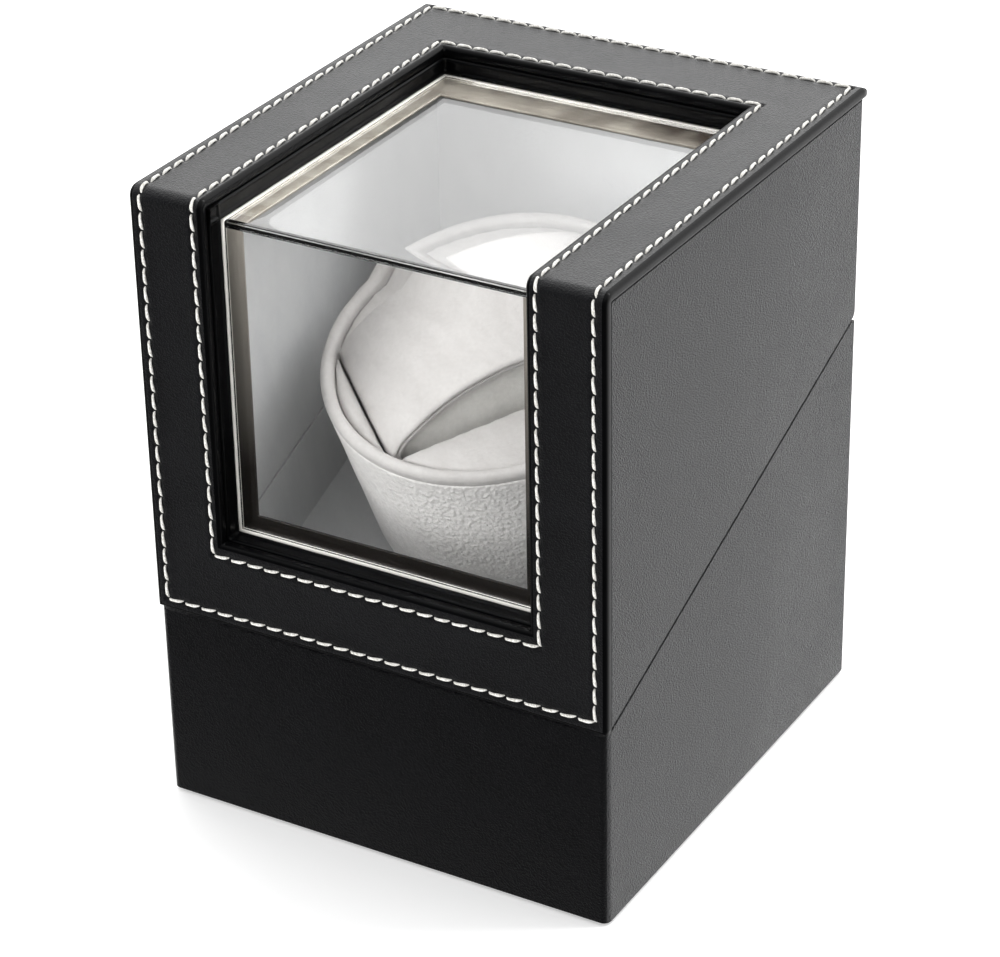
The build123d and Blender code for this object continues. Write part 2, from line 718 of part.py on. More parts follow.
BUSH_BORE = SPINDLE_RADIUS + RUNNING
BUSH_LOW = CASE_TOP - CASE_WALL
with BuildPart() as spindle_bush:
    add(disc(BUSH_FLANGE, DECK_TOP, CASE_TOP + DECK_BOARD))
    add(disc(BUSH_RADIUS, CASE_TOP + DECK_BOARD, BUSH_LOW))
    add(disc(BUSH_BORE, DECK_TOP, BUSH_LOW), mode=Mode.SUBTRACT)
save(spindle_bush.part, "spindle_bush")

# ---------------------------------------------------------------- pillow
# Outline across the wrist: a low arch, full sides and a narrower foot, in (across, level)
PILLOW_CROWN = 12.4
PILLOW_SHOULDER = (31.0, 2.5)
PILLOW_FULL = (35.0, -8.0)
PILLOW_FOOT = (30.0, PILLOW_BOTTOM)
PILLOW_FOOT_ROUND = 7.0
PILLOW_EDGE = 2.0


def pillow_form(inset, half_length, edge):
    """The pillow's outline drawn in by inset and run along the wrist, with eased ends."""
    left, right = [
        [(side * x, level) for x, level in (PILLOW_SHOULDER, PILLOW_FULL, PILLOW_FOOT)]
        for side in (-1, 1)
    ]
    with BuildPart() as form:
        with BuildSketch(PILLOW_END) as outline:
            with BuildLine():
                arch = ThreePointArc(left[0], (0, PILLOW_CROWN), right[0])
                TangentArc(right[0], right[1], tangent=arch % 1)
                TangentArc(left[0], left[1], tangent=-(arch % 0))
                Polyline(right[1], right[2], left[2], left[1])
            make_face()
            fillet(outline.vertices().sort_by(Axis.Y)[:2], PILLOW_FOOT_ROUND)
            if inset:
                offset(amount=-inset, kind=Kind.INTERSECTION)
        extrude(amount=half_length, both=True)
        if edge:
            ends = form.faces().sort_by(Axis((0, 0, 0), PILLOW_END.z_dir))
            fillet((ends[:1] + ends[-1:]).edges(), edge)
    return form.part


CUT_PAST = 1.0                  # a cutting body runs this far past the ends
pillow_middle = pillow_form(PILLOW_SKIN, PILLOW_HALF_LENGTH + CUT_PAST, 0.0)
with BuildPart() as pillow_sleeve:
    add(pillow_form(0.0, PILLOW_HALF_LENGTH, PILLOW_EDGE))
    add(pillow_middle, mode=Mode.SUBTRACT)
save(pillow_sleeve.part, "pillow_sleeve")

with BuildPart() as pillow_core:
    add(pillow_form(PILLOW_SKIN, PILLOW_HALF_LENGTH - PILLOW_RECESS, 0.0))
save(pillow_core.part, "pillow_core")


# ---------------------------------------------------------------- gears
def gear_outline(teeth, shift):
    """Involute spur gear with a tooth centred on the local X axis."""
    pitch_radius = MODULE * teeth / 2
    base_radius = pitch_radius * cos(PRESSURE)
    tip_radius = pitch_radius + MODULE * (1 + shift)
    root_radius = pitch_radius - MODULE * (1.25 - shift)
    half_tooth = (pi / 2 + 2 * shift * tan(PRESSURE)) / teeth - TOOTH_THINNING / (2 * pitch_radius)

    def flank(radius, side):
        lean = acos(min(1.0, base_radius / radius))
        angle = half_tooth + tan(PRESSURE) - PRESSURE - tan(lean) + lean
        return (radius * cos(angle), side * radius * sin(angle))

    start = max(base_radius, root_radius)
    middle = (start + tip_radius) / 2
    foot_x, foot_y = flank(start, 1)
    sunk = 0.9 * root_radius / start
    with BuildSketch() as tooth:
        with BuildLine():
            ThreePointArc(flank(start, 1), flank(middle, 1), flank(tip_radius, 1))
            ThreePointArc(flank(tip_radius, 1), (tip_radius, 0), flank(tip_radius, -1))
            ThreePointArc(flank(tip_radius, -1), flank(middle, -1), flank(start, -1))
            Polyline(
                flank(start, -1),
                (foot_x * sunk, -foot_y * sunk),
                (foot_x * sunk, foot_y * sunk),
                flank(start, 1),
            )
        make_face()
    with BuildSketch() as outline:
        Circle(root_radius)
        with PolarLocations(0, teeth):
            add(tooth.sketch)
    return outline.sketch


pinion = gear_outline(PINION_TEETH, PROFILE_SHIFT)
wheel = gear_outline(WHEEL_TEETH, -PROFILE_SHIFT)
HALF_TOOTH_TURN = 180 / PINION_TEETH
HUB_RADIUS = 2.4


def toothed(outline, level, centre, turn, bore):
    """One toothed wheel below a level, turned about its own centre."""
    with BuildPart() as solid:
        with BuildSketch(CUP.offset(level)):
            with Locations(centre):
                add(outline, rotation=turn)
                Circle(bore, mode=Mode.SUBTRACT)
        extrude(amount=-GEAR_FACE)
    return solid.part


def compound_gear(centre, level, pinion_turn, wheel_turn):
    """A pinion with a larger wheel one step below it, on one hub."""
    bore = PIN_RADIUS + RUNNING
    with BuildPart() as solid:
        add(toothed(pinion, level, centre, pinion_turn, bore))
        add(toothed(wheel, level - GEAR_STEP, centre, wheel_turn, bore))
        with BuildSketch(CUP.offset(level - GEAR_FACE)):
            with Locations(centre):
                Circle(HUB_RADIUS)
                Circle(bore, mode=Mode.SUBTRACT)
        extrude(amount=GEAR_FACE - GEAR_STEP)
    return solid.part


# Each wheel points a tooth at the pinion that it drives, and the pinion a gap back at it
save(toothed(wheel, GEAR_LEVELS[0], (0, 0), 180, SPINDLE_SEAT), "output_gear")
save(compound_gear(SECOND_AXIS, GEAR_LEVELS[0], HALF_TOOTH_TURN, 90), "gear_second")
save(compound_gear(FIRST_AXIS, GEAR_LEVELS[1], HALF_TOOTH_TURN - 90, 0), "gear_first")
save(toothed(pinion, GEAR_LEVELS[2], MOTOR_AXIS, HALF_TOOTH_TURN, PIN_RADIUS), "motor_pinion")

# ---------------------------------------------------------------- gear case
BOSS = 2.2
BOSS_PLAY = 0.3
POST_RADIUS = 2.6
PIN_TOP = CASE_TOP - 0.5
PIN_LOW = COVER_LOW + 0.5
MOTOR_BOSS = 3.0
MOTOR_BOSS_HEIGHT = 1.0
SCREW_SHANK = 10.0

with BuildPart() as gear_case:
    with BuildSketch(CUP.offset(CASE_TOP)):
        with Locations(CASE_CENTRE):
            Rectangle(2 * CASE_HALF, 2 * CASE_HALF)
    extrude(amount=COVER_TOP - CASE_TOP)
    with BuildSketch(CUP.offset(BUSH_LOW)):
        with Locations(CASE_CENTRE):
            Rectangle(2 * (CASE_HALF - CASE_WALL), 2 * (CASE_HALF - CASE_WALL))
    extrude(amount=COVER_TOP - BUSH_LOW, mode=Mode.SUBTRACT)
    with BuildSketch(CUP.offset(CASE_TOP)):
        with Locations(CASE_CENTRE):
            Rectangle(2 * (CASE_HALF + EAR), 2 * CASE_HALF)
    extrude(amount=-CASE_WALL)
    with BuildSketch(CUP.offset(BUSH_LOW)):
        with Locations(*COVER_SCREWS):
            Circle(POST_RADIUS)
    extrude(amount=COVER_TOP - BUSH_LOW)
    add(disc(BOSS, BUSH_LOW, GEAR_LEVELS[0] + BOSS_PLAY, SECOND_AXIS))
    add(disc(BOSS, BUSH_LOW, GEAR_LEVELS[1] + BOSS_PLAY, FIRST_AXIS))
    add(disc(PIN_RADIUS, PIN_TOP, COVER_TOP, SECOND_AXIS), mode=Mode.SUBTRACT)
    add(disc(PIN_RADIUS, PIN_TOP, COVER_TOP, FIRST_AXIS), mode=Mode.SUBTRACT)
    add(disc(BUSH_RADIUS, CASE_TOP, BUSH_LOW), mode=Mode.SUBTRACT)
    with BuildSketch(CUP.offset(CASE_TOP)):
        with Locations(*EAR_SCREWS):
            Circle(SCREW_RADIUS)
    extrude(amount=-CASE_WALL, mode=Mode.SUBTRACT)
    with BuildSketch(CUP.offset(COVER_TOP)):
        with Locations(*COVER_SCREWS):
            Circle(SCREW_RADIUS)
    extrude(amount=SCREW_SHANK - CASE_WALL, mode=Mode.SUBTRACT)
save(gear_case.part, "gear_case")

with BuildPart() as gear_case_cover:
    with BuildSketch(CUP.offset(COVER_TOP)):
        with Locations(CASE_CENTRE):
            Rectangle(2 * CASE_HALF, 2 * CASE_HALF)
        with Locations(*COVER_SCREWS):
            Circle(SCREW_RADIUS, mode=Mode.SUBTRACT)
    extrude(amount=-CASE_WALL)
    add(disc(BOSS, GEAR_LEVELS[1] - GEAR_FACE - BOSS_PLAY, COVER_TOP, SECOND_AXIS))
    add(disc(BOSS, GEAR_LEVELS[2] - GEAR_FACE - BOSS_PLAY, COVER_TOP, FIRST_AXIS))
    add(disc(PIN_RADIUS, CASE_TOP, PIN_LOW, SECOND_AXIS), mode=Mode.SUBTRACT)
    add(disc(PIN_RADIUS, CASE_TOP, PIN_LOW, FIRST_AXIS), mode=Mode.SUBTRACT)
    add(disc(SPINDLE_END + RUNNING, CASE_TOP, COVER_LOW), mode=Mode.SUBTRACT)
    add(disc(MOTOR_BOSS, COVER_TOP, COVER_LOW, MOTOR_AXIS), mode=Mode.SUBTRACT)
save(gear_case_cover.part, "gear_case_cover")

with BuildPart() as gear_pins:
    for axis in (SECOND_AXIS, FIRST_AXIS):
        add(disc(PIN_RADIUS, PIN_TOP, PIN_LOW, axis))
save(gear_pins.part, "gear_pins")

with BuildPart() as gear_case_screws:
    for centre in COVER_SCREWS:
        add(disc(SCREW_RADIUS, COVER_LOW + SCREW_SHANK, COVER_LOW, centre))
        add(disc(CASE_SCREW_HEAD, COVER_LOW, COVER_LOW - CASE_SCREW_HEIGHT, centre))
    for centre in EAR_SCREWS:
        add(disc(SCREW_RADIUS, EAR_SCREW_TIP, BUSH_LOW, centre))
        add(disc(CASE_SCREW_HEAD, BUSH_LOW, BUSH_LOW - CASE_SCREW_HEIGHT, centre))
save(gear_case_screws.part, "gear_case_screws")

# ---------------------------------------------------------------- motor
END_CAP = 1.0
MOTOR_INNER = MOTOR_RADIUS - MOTOR_SHELL
ARMATURE_RADIUS = 8.7
ARMATURE_TOP = COVER_LOW - 2.0
ARMATURE_LOW = MOTOR_LOW + 2.3
SHAFT_LOW = MOTOR_LOW + 0.2
SHAFT_BORE = PIN_RADIUS + RUNNING
SHAFT_PLAY = 0.3
TERMINAL_X = 4.0

with BuildPart() as motor_can:
    add(disc(MOTOR_RADIUS, COVER_LOW, MOTOR_LOW, MOTOR_AXIS))
    add(disc(MOTOR_INNER, COVER_LOW - MOTOR_SHELL, MOTOR_LOW, MOTOR_AXIS), mode=Mode.SUBTRACT)
    add(disc(MOTOR_BOSS, COVER_LOW + MOTOR_BOSS_HEIGHT, COVER_LOW, MOTOR_AXIS))
    add(disc(SHAFT_BORE, 0.0, -FAR, MOTOR_AXIS), mode=Mode.SUBTRACT)
save(motor_can.part, "motor_can")

with BuildPart() as motor_end_cap:
    add(disc(MOTOR_INNER, MOTOR_LOW + END_CAP, MOTOR_LOW, MOTOR_AXIS))
    add(disc(MOTOR_RADIUS, MOTOR_LOW, MOTOR_LOW - END_CAP, MOTOR_AXIS))
    add(disc(SHAFT_BORE, 0.0, SHAFT_LOW - SHAFT_PLAY, MOTOR_AXIS), mode=Mode.SUBTRACT)
save(motor_end_cap.part, "motor_end_cap")

with BuildPart() as motor_shaft:
    add(disc(PIN_RADIUS, GEAR_LEVELS[2], SHAFT_LOW, MOTOR_AXIS))
save(motor_shaft.part, "motor_shaft")

with BuildPart() as motor_armature:
    add(disc(ARMATURE_RADIUS, ARMATURE_TOP, ARMATURE_LOW, MOTOR_AXIS))
    add(disc(PIN_RADIUS, 0.0, -FAR, MOTOR_AXIS), mode=Mode.SUBTRACT)
save(motor_armature.part, "motor_armature")

# ---------------------------------------------------------------- rear plate and electronics
JACK_BODY = (9.0, 11.0)
JACK_BARREL = 4.2
JACK_BORE = 2.8
JACK_PIN = 1.05
JACK_DEPTH = 9.5
JACK_NOSE = 0.4
SWITCH_BODY = (10.0, 6.0)
KNOB_SIZE = (2.2, 3.0)
KNOB_TIP = 69.0
KNOB_ROOT = 64.0
KNOB_PLAY = 0.3
KNOB_EASE = 0.4
PLATE_CORNER = 2.0
PLATE_EASE = 0.5
CHIP_PLACE = (14.0, -3.0)       # from the middle of the circuit board
CHIP_SIZE = (8.0, 1.6, 6.0)
POCKET_Y = KNOB_ROOT - KNOB_PLAY
CIRCUIT_Z = 19.0

slot_size = (KNOB_SIZE[0] + 2 * (KNOB_TRAVEL + KNOB_PLAY), KNOB_SIZE[1] + 2 * KNOB_PLAY)
with BuildPart() as rear_plate:
    with BuildSketch(behind(BACK_Y)):
        RectangleRounded(PLATE_SIZE[0], PLATE_SIZE[1], PLATE_CORNER)
        with Locations((-JACK_X, 0)):
            Circle(JACK_BARREL, mode=Mode.SUBTRACT)
        with Locations((-SWITCH_X, 0)):
            Rectangle(*slot_size, mode=Mode.SUBTRACT)
        with Locations((-PLATE_SCREW_X, 0), (PLATE_SCREW_X, 0)):
            Circle(SCREW_RADIUS, mode=Mode.SUBTRACT)
    extrude(amount=PLATE_SIZE[2])
    fillet(rear_plate.faces().sort_by(Axis.Y)[-1].outer_wire().edges(), PLATE_EASE)
save(rear_plate.part, "rear_plate")

with BuildPart() as dc_jack:
    with BuildSketch(behind(CIRCUIT_FACE)):
        with Locations((-JACK_X, 0)):
            Rectangle(*JACK_BODY)
    extrude(amount=BACK_Y - CIRCUIT_FACE)
    with BuildSketch(behind(BACK_Y)):
        with Locations((-JACK_X, 0)):
            Circle(JACK_BARREL)
    extrude(amount=PLATE_SIZE[2] + JACK_NOSE)
    with BuildSketch(behind(PLATE_BACK + JACK_NOSE)):
        with Locations((-JACK_X, 0)):
            Circle(JACK_BORE)
            Circle(JACK_PIN, mode=Mode.SUBTRACT)
    extrude(amount=-JACK_DEPTH, mode=Mode.SUBTRACT)
save(dc_jack.part, "dc_jack")

with BuildPart() as mode_switch_body:
    with BuildSketch(behind(CIRCUIT_FACE)):
        with Locations((-SWITCH_X, 0)):
            Rectangle(*SWITCH_BODY)
    extrude(amount=BACK_Y - CIRCUIT_FACE)
    with BuildSketch(behind(POCKET_Y)):
        with Locations((-SWITCH_X, 0)):
            Rectangle(*slot_size)
    extrude(amount=BACK_Y - POCKET_Y, mode=Mode.SUBTRACT)
save(mode_switch_body.part, "mode_switch_body")

with BuildPart() as mode_knob:
    with BuildSketch(behind(KNOB_ROOT)):
        with Locations((-SWITCH_X, 0)):
            Rectangle(*KNOB_SIZE)
    extrude(amount=KNOB_TIP - KNOB_ROOT)
    fillet(mode_knob.faces().sort_by(Axis.Y)[-1].edges(), KNOB_EASE)
save(mode_knob.part, "mode_knob")

with BuildPart() as control_board:
    with Locations((0, CIRCUIT_FACE - CIRCUIT / 2, CIRCUIT_Z)):
        Box(CIRCUIT_SIZE[0], CIRCUIT, CIRCUIT_SIZE[1])
    chip_y = CIRCUIT_FACE - CIRCUIT - CHIP_SIZE[1] / 2
    with Locations((CHIP_PLACE[0], chip_y, CIRCUIT_Z + CHIP_PLACE[1])):
        Box(*CHIP_SIZE)
save(control_board.part, "control_board")

# ---------------------------------------------------------------- batteries
DOOR_PLAY = 0.2
CELL_LOW = DOOR_LOW + DOOR_THICK + DOOR_PLAY
CELL_Z = CELL_LOW + CELL_RADIUS
CELL_YS = [CELL_Y - CELL_PITCH / 2, CELL_Y + CELL_PITCH / 2]
CELL_NUB = 2.7
NUB_HEIGHT = 1.0
CONTACT = 0.6
CONTACT_SIDE = 9.0
SPRING_RADIUS = 3.2
SPRING_TAPER = 20
FINGER_SLOT = (14.0, 3.0)
mouth = [2 * (half - TRAY_WALL) for half in TRAY_HALF]

with BuildPart() as battery_tray:
    with BuildSketch(Plane.XY.offset(FELT)):
        with Locations((0, CELL_Y)):
            Rectangle(2 * TRAY_HALF[0], 2 * TRAY_HALF[1])
    extrude(amount=TRAY_TOP - FELT)
    with BuildSketch(Plane.XY.offset(FELT)):
        with Locations((0, CELL_Y)):
            Rectangle(*mouth)
    extrude(amount=TRAY_TOP - TRAY_WALL - FELT, mode=Mode.SUBTRACT)
save(battery_tray.part, "battery_tray")

with BuildPart() as battery_door:
    with BuildSketch(Plane.XY.offset(DOOR_LOW)):
        with Locations((0, CELL_Y)):
            Rectangle(mouth[0] - 2 * DOOR_PLAY, mouth[1] - 2 * DOOR_PLAY)
            SlotOverall(*FINGER_SLOT, mode=Mode.SUBTRACT)
    extrude(amount=DOOR_THICK)
save(battery_door.part, "battery_door")

with BuildPart() as battery_cells:
    for y, turn in zip(CELL_YS, (1, -1)):
        with BuildSketch(Plane.YZ.offset(-turn * CELL_LENGTH / 2)):
            with Locations((y, CELL_Z)):
                Circle(CELL_RADIUS)
        extrude(amount=turn * (CELL_LENGTH - NUB_HEIGHT))
        with BuildSketch(Plane.YZ.offset(turn * (CELL_LENGTH / 2 - NUB_HEIGHT))):
            with Locations((y, CELL_Z)):
                Circle(CELL_NUB)
        extrude(amount=turn * NUB_HEIGHT)
save(battery_cells.part, "battery_cells")

with BuildPart() as battery_contacts:
    for side in (-1, 1):
        for y in CELL_YS:
            with BuildSketch(Plane.YZ.offset(side * mouth[0] / 2)):
                with Locations((y, CELL_Z)):
                    Rectangle(CONTACT_SIDE, CONTACT_SIDE)
            extrude(amount=-side * CONTACT)
            with BuildSketch(Plane.YZ.offset(side * (mouth[0] / 2 - CONTACT))):
                with Locations((y, CELL_Z)):
                    Circle(SPRING_RADIUS)
            spring = (mouth[0] - CELL_LENGTH) / 2 - CONTACT
            extrude(amount=-side * spring, taper=SPRING_TAPER)
save(battery_contacts.part, "battery_contacts")

# ---------------------------------------------------------------- wires
BOARD_FACE = CIRCUIT_FACE - CIRCUIT
MOTOR_LEAD_Z = 14.0
MOTOR_LEAD_BEND = 3.0
BATTERY_LEAD_X = 19.0
BATTERY_LEAD_BEND = 3.0
BATTERY_LEAD_SPREAD = 1.5
BATTERY_LEAD_EXIT = 13.0        # height where the leads leave the tray
BATTERY_LEAD_END = 12.0         # and where they reach the circuit board
BATTERY_LEAD_LOW = FELT + LEATHER + FLOOR_BOARD + LEAD + 0.1
BATTERY_LEAD_ROUTE = [
    (CELL_Y + TRAY_HALF[1], BATTERY_LEAD_EXIT),
    (CELL_Y + TRAY_HALF[1] + 9.0, BATTERY_LEAD_EXIT),
    (CELL_Y + TRAY_HALF[1] + 18.0, BATTERY_LEAD_LOW),
    (BOARD_FACE - 14.0, BATTERY_LEAD_LOW),
    (BOARD_FACE - 7.0, BATTERY_LEAD_END),
    (BOARD_FACE, BATTERY_LEAD_END),
]


def wire(x, route, bend):
    """A round wire along (y, z) points, with an arc at each corner."""
    side = Plane.YZ.offset(x)
    with BuildPart() as tube:
        with BuildLine(side) as path:
            FilletPolyline(*route, radius=bend)
        with BuildSketch(Plane(origin=path.line @ 0, z_dir=path.line % 0)):
            Circle(LEAD)
        sweep(path=path.line)
    return tube.part


motor_end = CUP.from_local_coords((MOTOR_AXIS[0], MOTOR_AXIS[1], MOTOR_LOW - END_CAP))
drop = (motor_end.Z - MOTOR_LEAD_Z) / cos(TILT)
motor_route = [
    (motor_end.Y, motor_end.Z),
    (motor_end.Y + drop * sin(TILT), MOTOR_LEAD_Z),
    (BOARD_FACE, MOTOR_LEAD_Z),
]
with BuildPart() as inner_wires:
    for x in (-TERMINAL_X, TERMINAL_X):
        add(wire(x, motor_route, MOTOR_LEAD_BEND))
    for side in (-1, 1):
        x = BATTERY_LEAD_X + side * BATTERY_LEAD_SPREAD
        add(wire(x, BATTERY_LEAD_ROUTE, BATTERY_LEAD_BEND))
save(inner_wires.part, "inner_wires")
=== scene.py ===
"""Looks of the watch winder box: stitched leather, window, velvet inside, turning cup and pillow."""

import json
from math import cos, pi, radians, sin, tau

import bmesh
import bpy
import numpy as np
from mathutils import Matrix, Vector, noise


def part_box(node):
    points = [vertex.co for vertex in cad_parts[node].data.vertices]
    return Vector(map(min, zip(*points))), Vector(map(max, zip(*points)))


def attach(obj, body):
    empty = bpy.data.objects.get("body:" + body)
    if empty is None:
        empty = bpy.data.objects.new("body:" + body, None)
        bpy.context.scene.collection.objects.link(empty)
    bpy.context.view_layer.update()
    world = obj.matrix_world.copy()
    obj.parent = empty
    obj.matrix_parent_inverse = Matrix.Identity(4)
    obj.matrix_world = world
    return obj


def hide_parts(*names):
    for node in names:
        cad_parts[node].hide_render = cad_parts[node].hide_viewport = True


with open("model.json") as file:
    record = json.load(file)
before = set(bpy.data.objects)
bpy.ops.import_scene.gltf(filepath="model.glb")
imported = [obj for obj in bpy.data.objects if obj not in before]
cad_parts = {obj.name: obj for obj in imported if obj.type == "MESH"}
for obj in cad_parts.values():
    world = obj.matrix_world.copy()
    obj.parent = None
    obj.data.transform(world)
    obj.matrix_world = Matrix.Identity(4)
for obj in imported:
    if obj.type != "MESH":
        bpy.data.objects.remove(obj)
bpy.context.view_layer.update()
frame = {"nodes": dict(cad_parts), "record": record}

MM = 0.001
NODES = frame["nodes"]


def box_mm(node):
    """A CAD node's lowest and highest corners, in millimetres."""
    low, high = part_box(node)
    return np.array(low) / MM, np.array(high) / MM


# ---------------------------------------------------------------- sizes taken from the frame, in mm
FACE_LOW, FACE_HIGH = box_mm("face_leather")
PANE_LOW, PANE_HIGH = box_mm("window_pane")
HALF_WIDTH = FACE_HIGH[0]
FRONT = FACE_LOW[1]
BACK = FACE_HIGH[1]
TOP = FACE_HIGH[2]
PANEL = 3.0                     # thickness of the L-shaped face panel
PANEL_BEND = 2.8
PANE_BEND = 0.7
PANE_PLAY = 0.1                 # the visible pane is smaller than the CAD pane by this, all round
WINDOW_EDGE = 0.95              # from the pane's edge to the edge of the opening
WINDOW_HALF = PANE_HIGH[0] + WINDOW_EDGE
WINDOW_LOW = PANE_LOW[2] - WINDOW_EDGE
WINDOW_BACK = PANE_HIGH[1] + WINDOW_EDGE
JOINT_SLOPE = 0.3932            # rise of the joint plane per millimetre towards the back
TILT = 0.37466                  # the same slope as an angle
CUP_RIM = Vector((0.0, -6.5, 114.5))
CUP_RADIUS = 44.0
CUP_TAPER = 0.0685
CUP_DEPTH = 54.0
CUP_BAND = 3.0                  # velvet band below the rim
CUP_STEPS = 160                 # points round each of the cup's skins
WRIST_TURN = radians(-42.0)
PILLOW_HALF = 20.5

AXIS = Vector((0.0, -sin(TILT), cos(TILT)))
ACROSS = Vector((1.0, 0.0, 0.0))
UPHILL = AXIS.cross(ACROSS)
WRIST = ACROSS * cos(WRIST_TURN) + UPHILL * sin(WRIST_TURN)
PILLOW_SIDE = AXIS.cross(WRIST)


# ---------------------------------------------------------------- meshes
def piece(name, points, faces, body, material):
    """A new mesh piece from points in millimetres."""
    mesh = bpy.data.meshes.new(name)
    mesh.from_pydata([tuple(p) for p in np.asarray(points) * MM], [], faces)
    mesh.validate()
    mesh.update()
    made = bpy.data.objects.new(name, mesh)
    bpy.context.scene.collection.objects.link(made)
    mesh.polygons.foreach_set("use_smooth", [True] * len(mesh.polygons))
    mesh.materials.append(material)
    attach(made, body)
    return made


def stand_for(made, slot, *nodes):
    """Hides the CAD nodes that a piece stands for; the slot that names what it is made of is not used."""
    if nodes:
        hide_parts(*nodes)


def ruler(*stops):
    """Values from stop to stop; each stop is (value, largest step after it)."""
    values = []
    for (start, step), (end, _) in zip(stops, stops[1:]):
        count = max(1, int(np.ceil(abs(end - start) / step)))
        values += list(np.linspace(start, end, count, endpoint=False))
    return np.array(values + [stops[-1][0]])


def lump(points, size, seed):
    """Smooth random heights, one for each point."""
    shift = Vector((seed * 7.3, seed * 3.1, seed * 5.7))
    return np.array([noise.noise(Vector(p) / size + shift) for p in points])


class BentPath:
    """The line that a sheet follows up the front, round a bend and back along the top."""

    def __init__(self, front, top, bend):
        self.front = front
        self.top = top
        self.bend = bend
        self.turn = top - bend
        self.flat = self.turn + bend * pi / 2

    def at_depth(self, y):
        """Place along the path of a point of the top, from its y."""
        return self.flat + y - self.front - self.bend

    def points(self, u, s, h):
        """Points from width, place along the path and depth below the sheet's outside."""
        u, s, h = np.broadcast_arrays(u, s, h)
        angle = np.clip((s - self.turn) / self.bend, 0, pi / 2)
        radius = np.maximum(self.bend - h, 0.02)
        on_bend = (s > self.turn) & (s < self.flat)
        y = np.where(s <= self.turn, self.front + h, self.front + self.bend + s - self.flat)
        z = np.where(s <= self.turn, s, self.top - h)
        y = np.where(on_bend, self.front + self.bend - radius * np.cos(angle), y)
        z = np.where(on_bend, self.turn + radius * np.sin(angle), z)
        return np.stack([u, y, z], axis=-1)


def grid_faces(rows, columns, hole=None):
    """Faces of a grid of points, without those that the hole function marks."""
    faces = []
    for i in range(rows - 1):
        for j in range(columns - 1):
            if hole is None or not hole(i, j):
                start = i * columns + j
                faces.append((start, start + 1, start + columns + 1, start + columns))
    return faces


def loop_round(columns, i0, i1, j0, j1):
    """Grid points around a rectangle of the grid, and the directions away from it."""
    loop = [(i0, j) for j in range(j0, j1)]
    loop += [(i, j1) for i in range(i0, i1)]
    loop += [(i1, j) for j in range(j1, j0, -1)]
    loop += [(i, j0) for i in range(i1, i0, -1)]
    index = np.array([i * columns + j for i, j in loop])
    away = np.array([((j == j1) - (j == j0), (i == i1) - (i == i0)) for i, j in loop])
    return index, away


def edge_rings(radius, depth, under, tuck):
    """Outward steps and depths of the rings that carry a sheet round an edge and under it."""
    rings = [(radius * sin(a), radius * (1 - cos(a))) for a in np.linspace(0, pi / 2, 6)[1:]]
    rings += [(radius, d) for d in np.linspace(radius, depth - under, 4)[1:]]
    rings += [
        (radius - under * (1 - cos(a)), depth - under + under * sin(a))
        for a in np.linspace(0, pi / 2, 4)[1:]
    ]
    rings.append((radius - under - tuck, depth))
    return rings


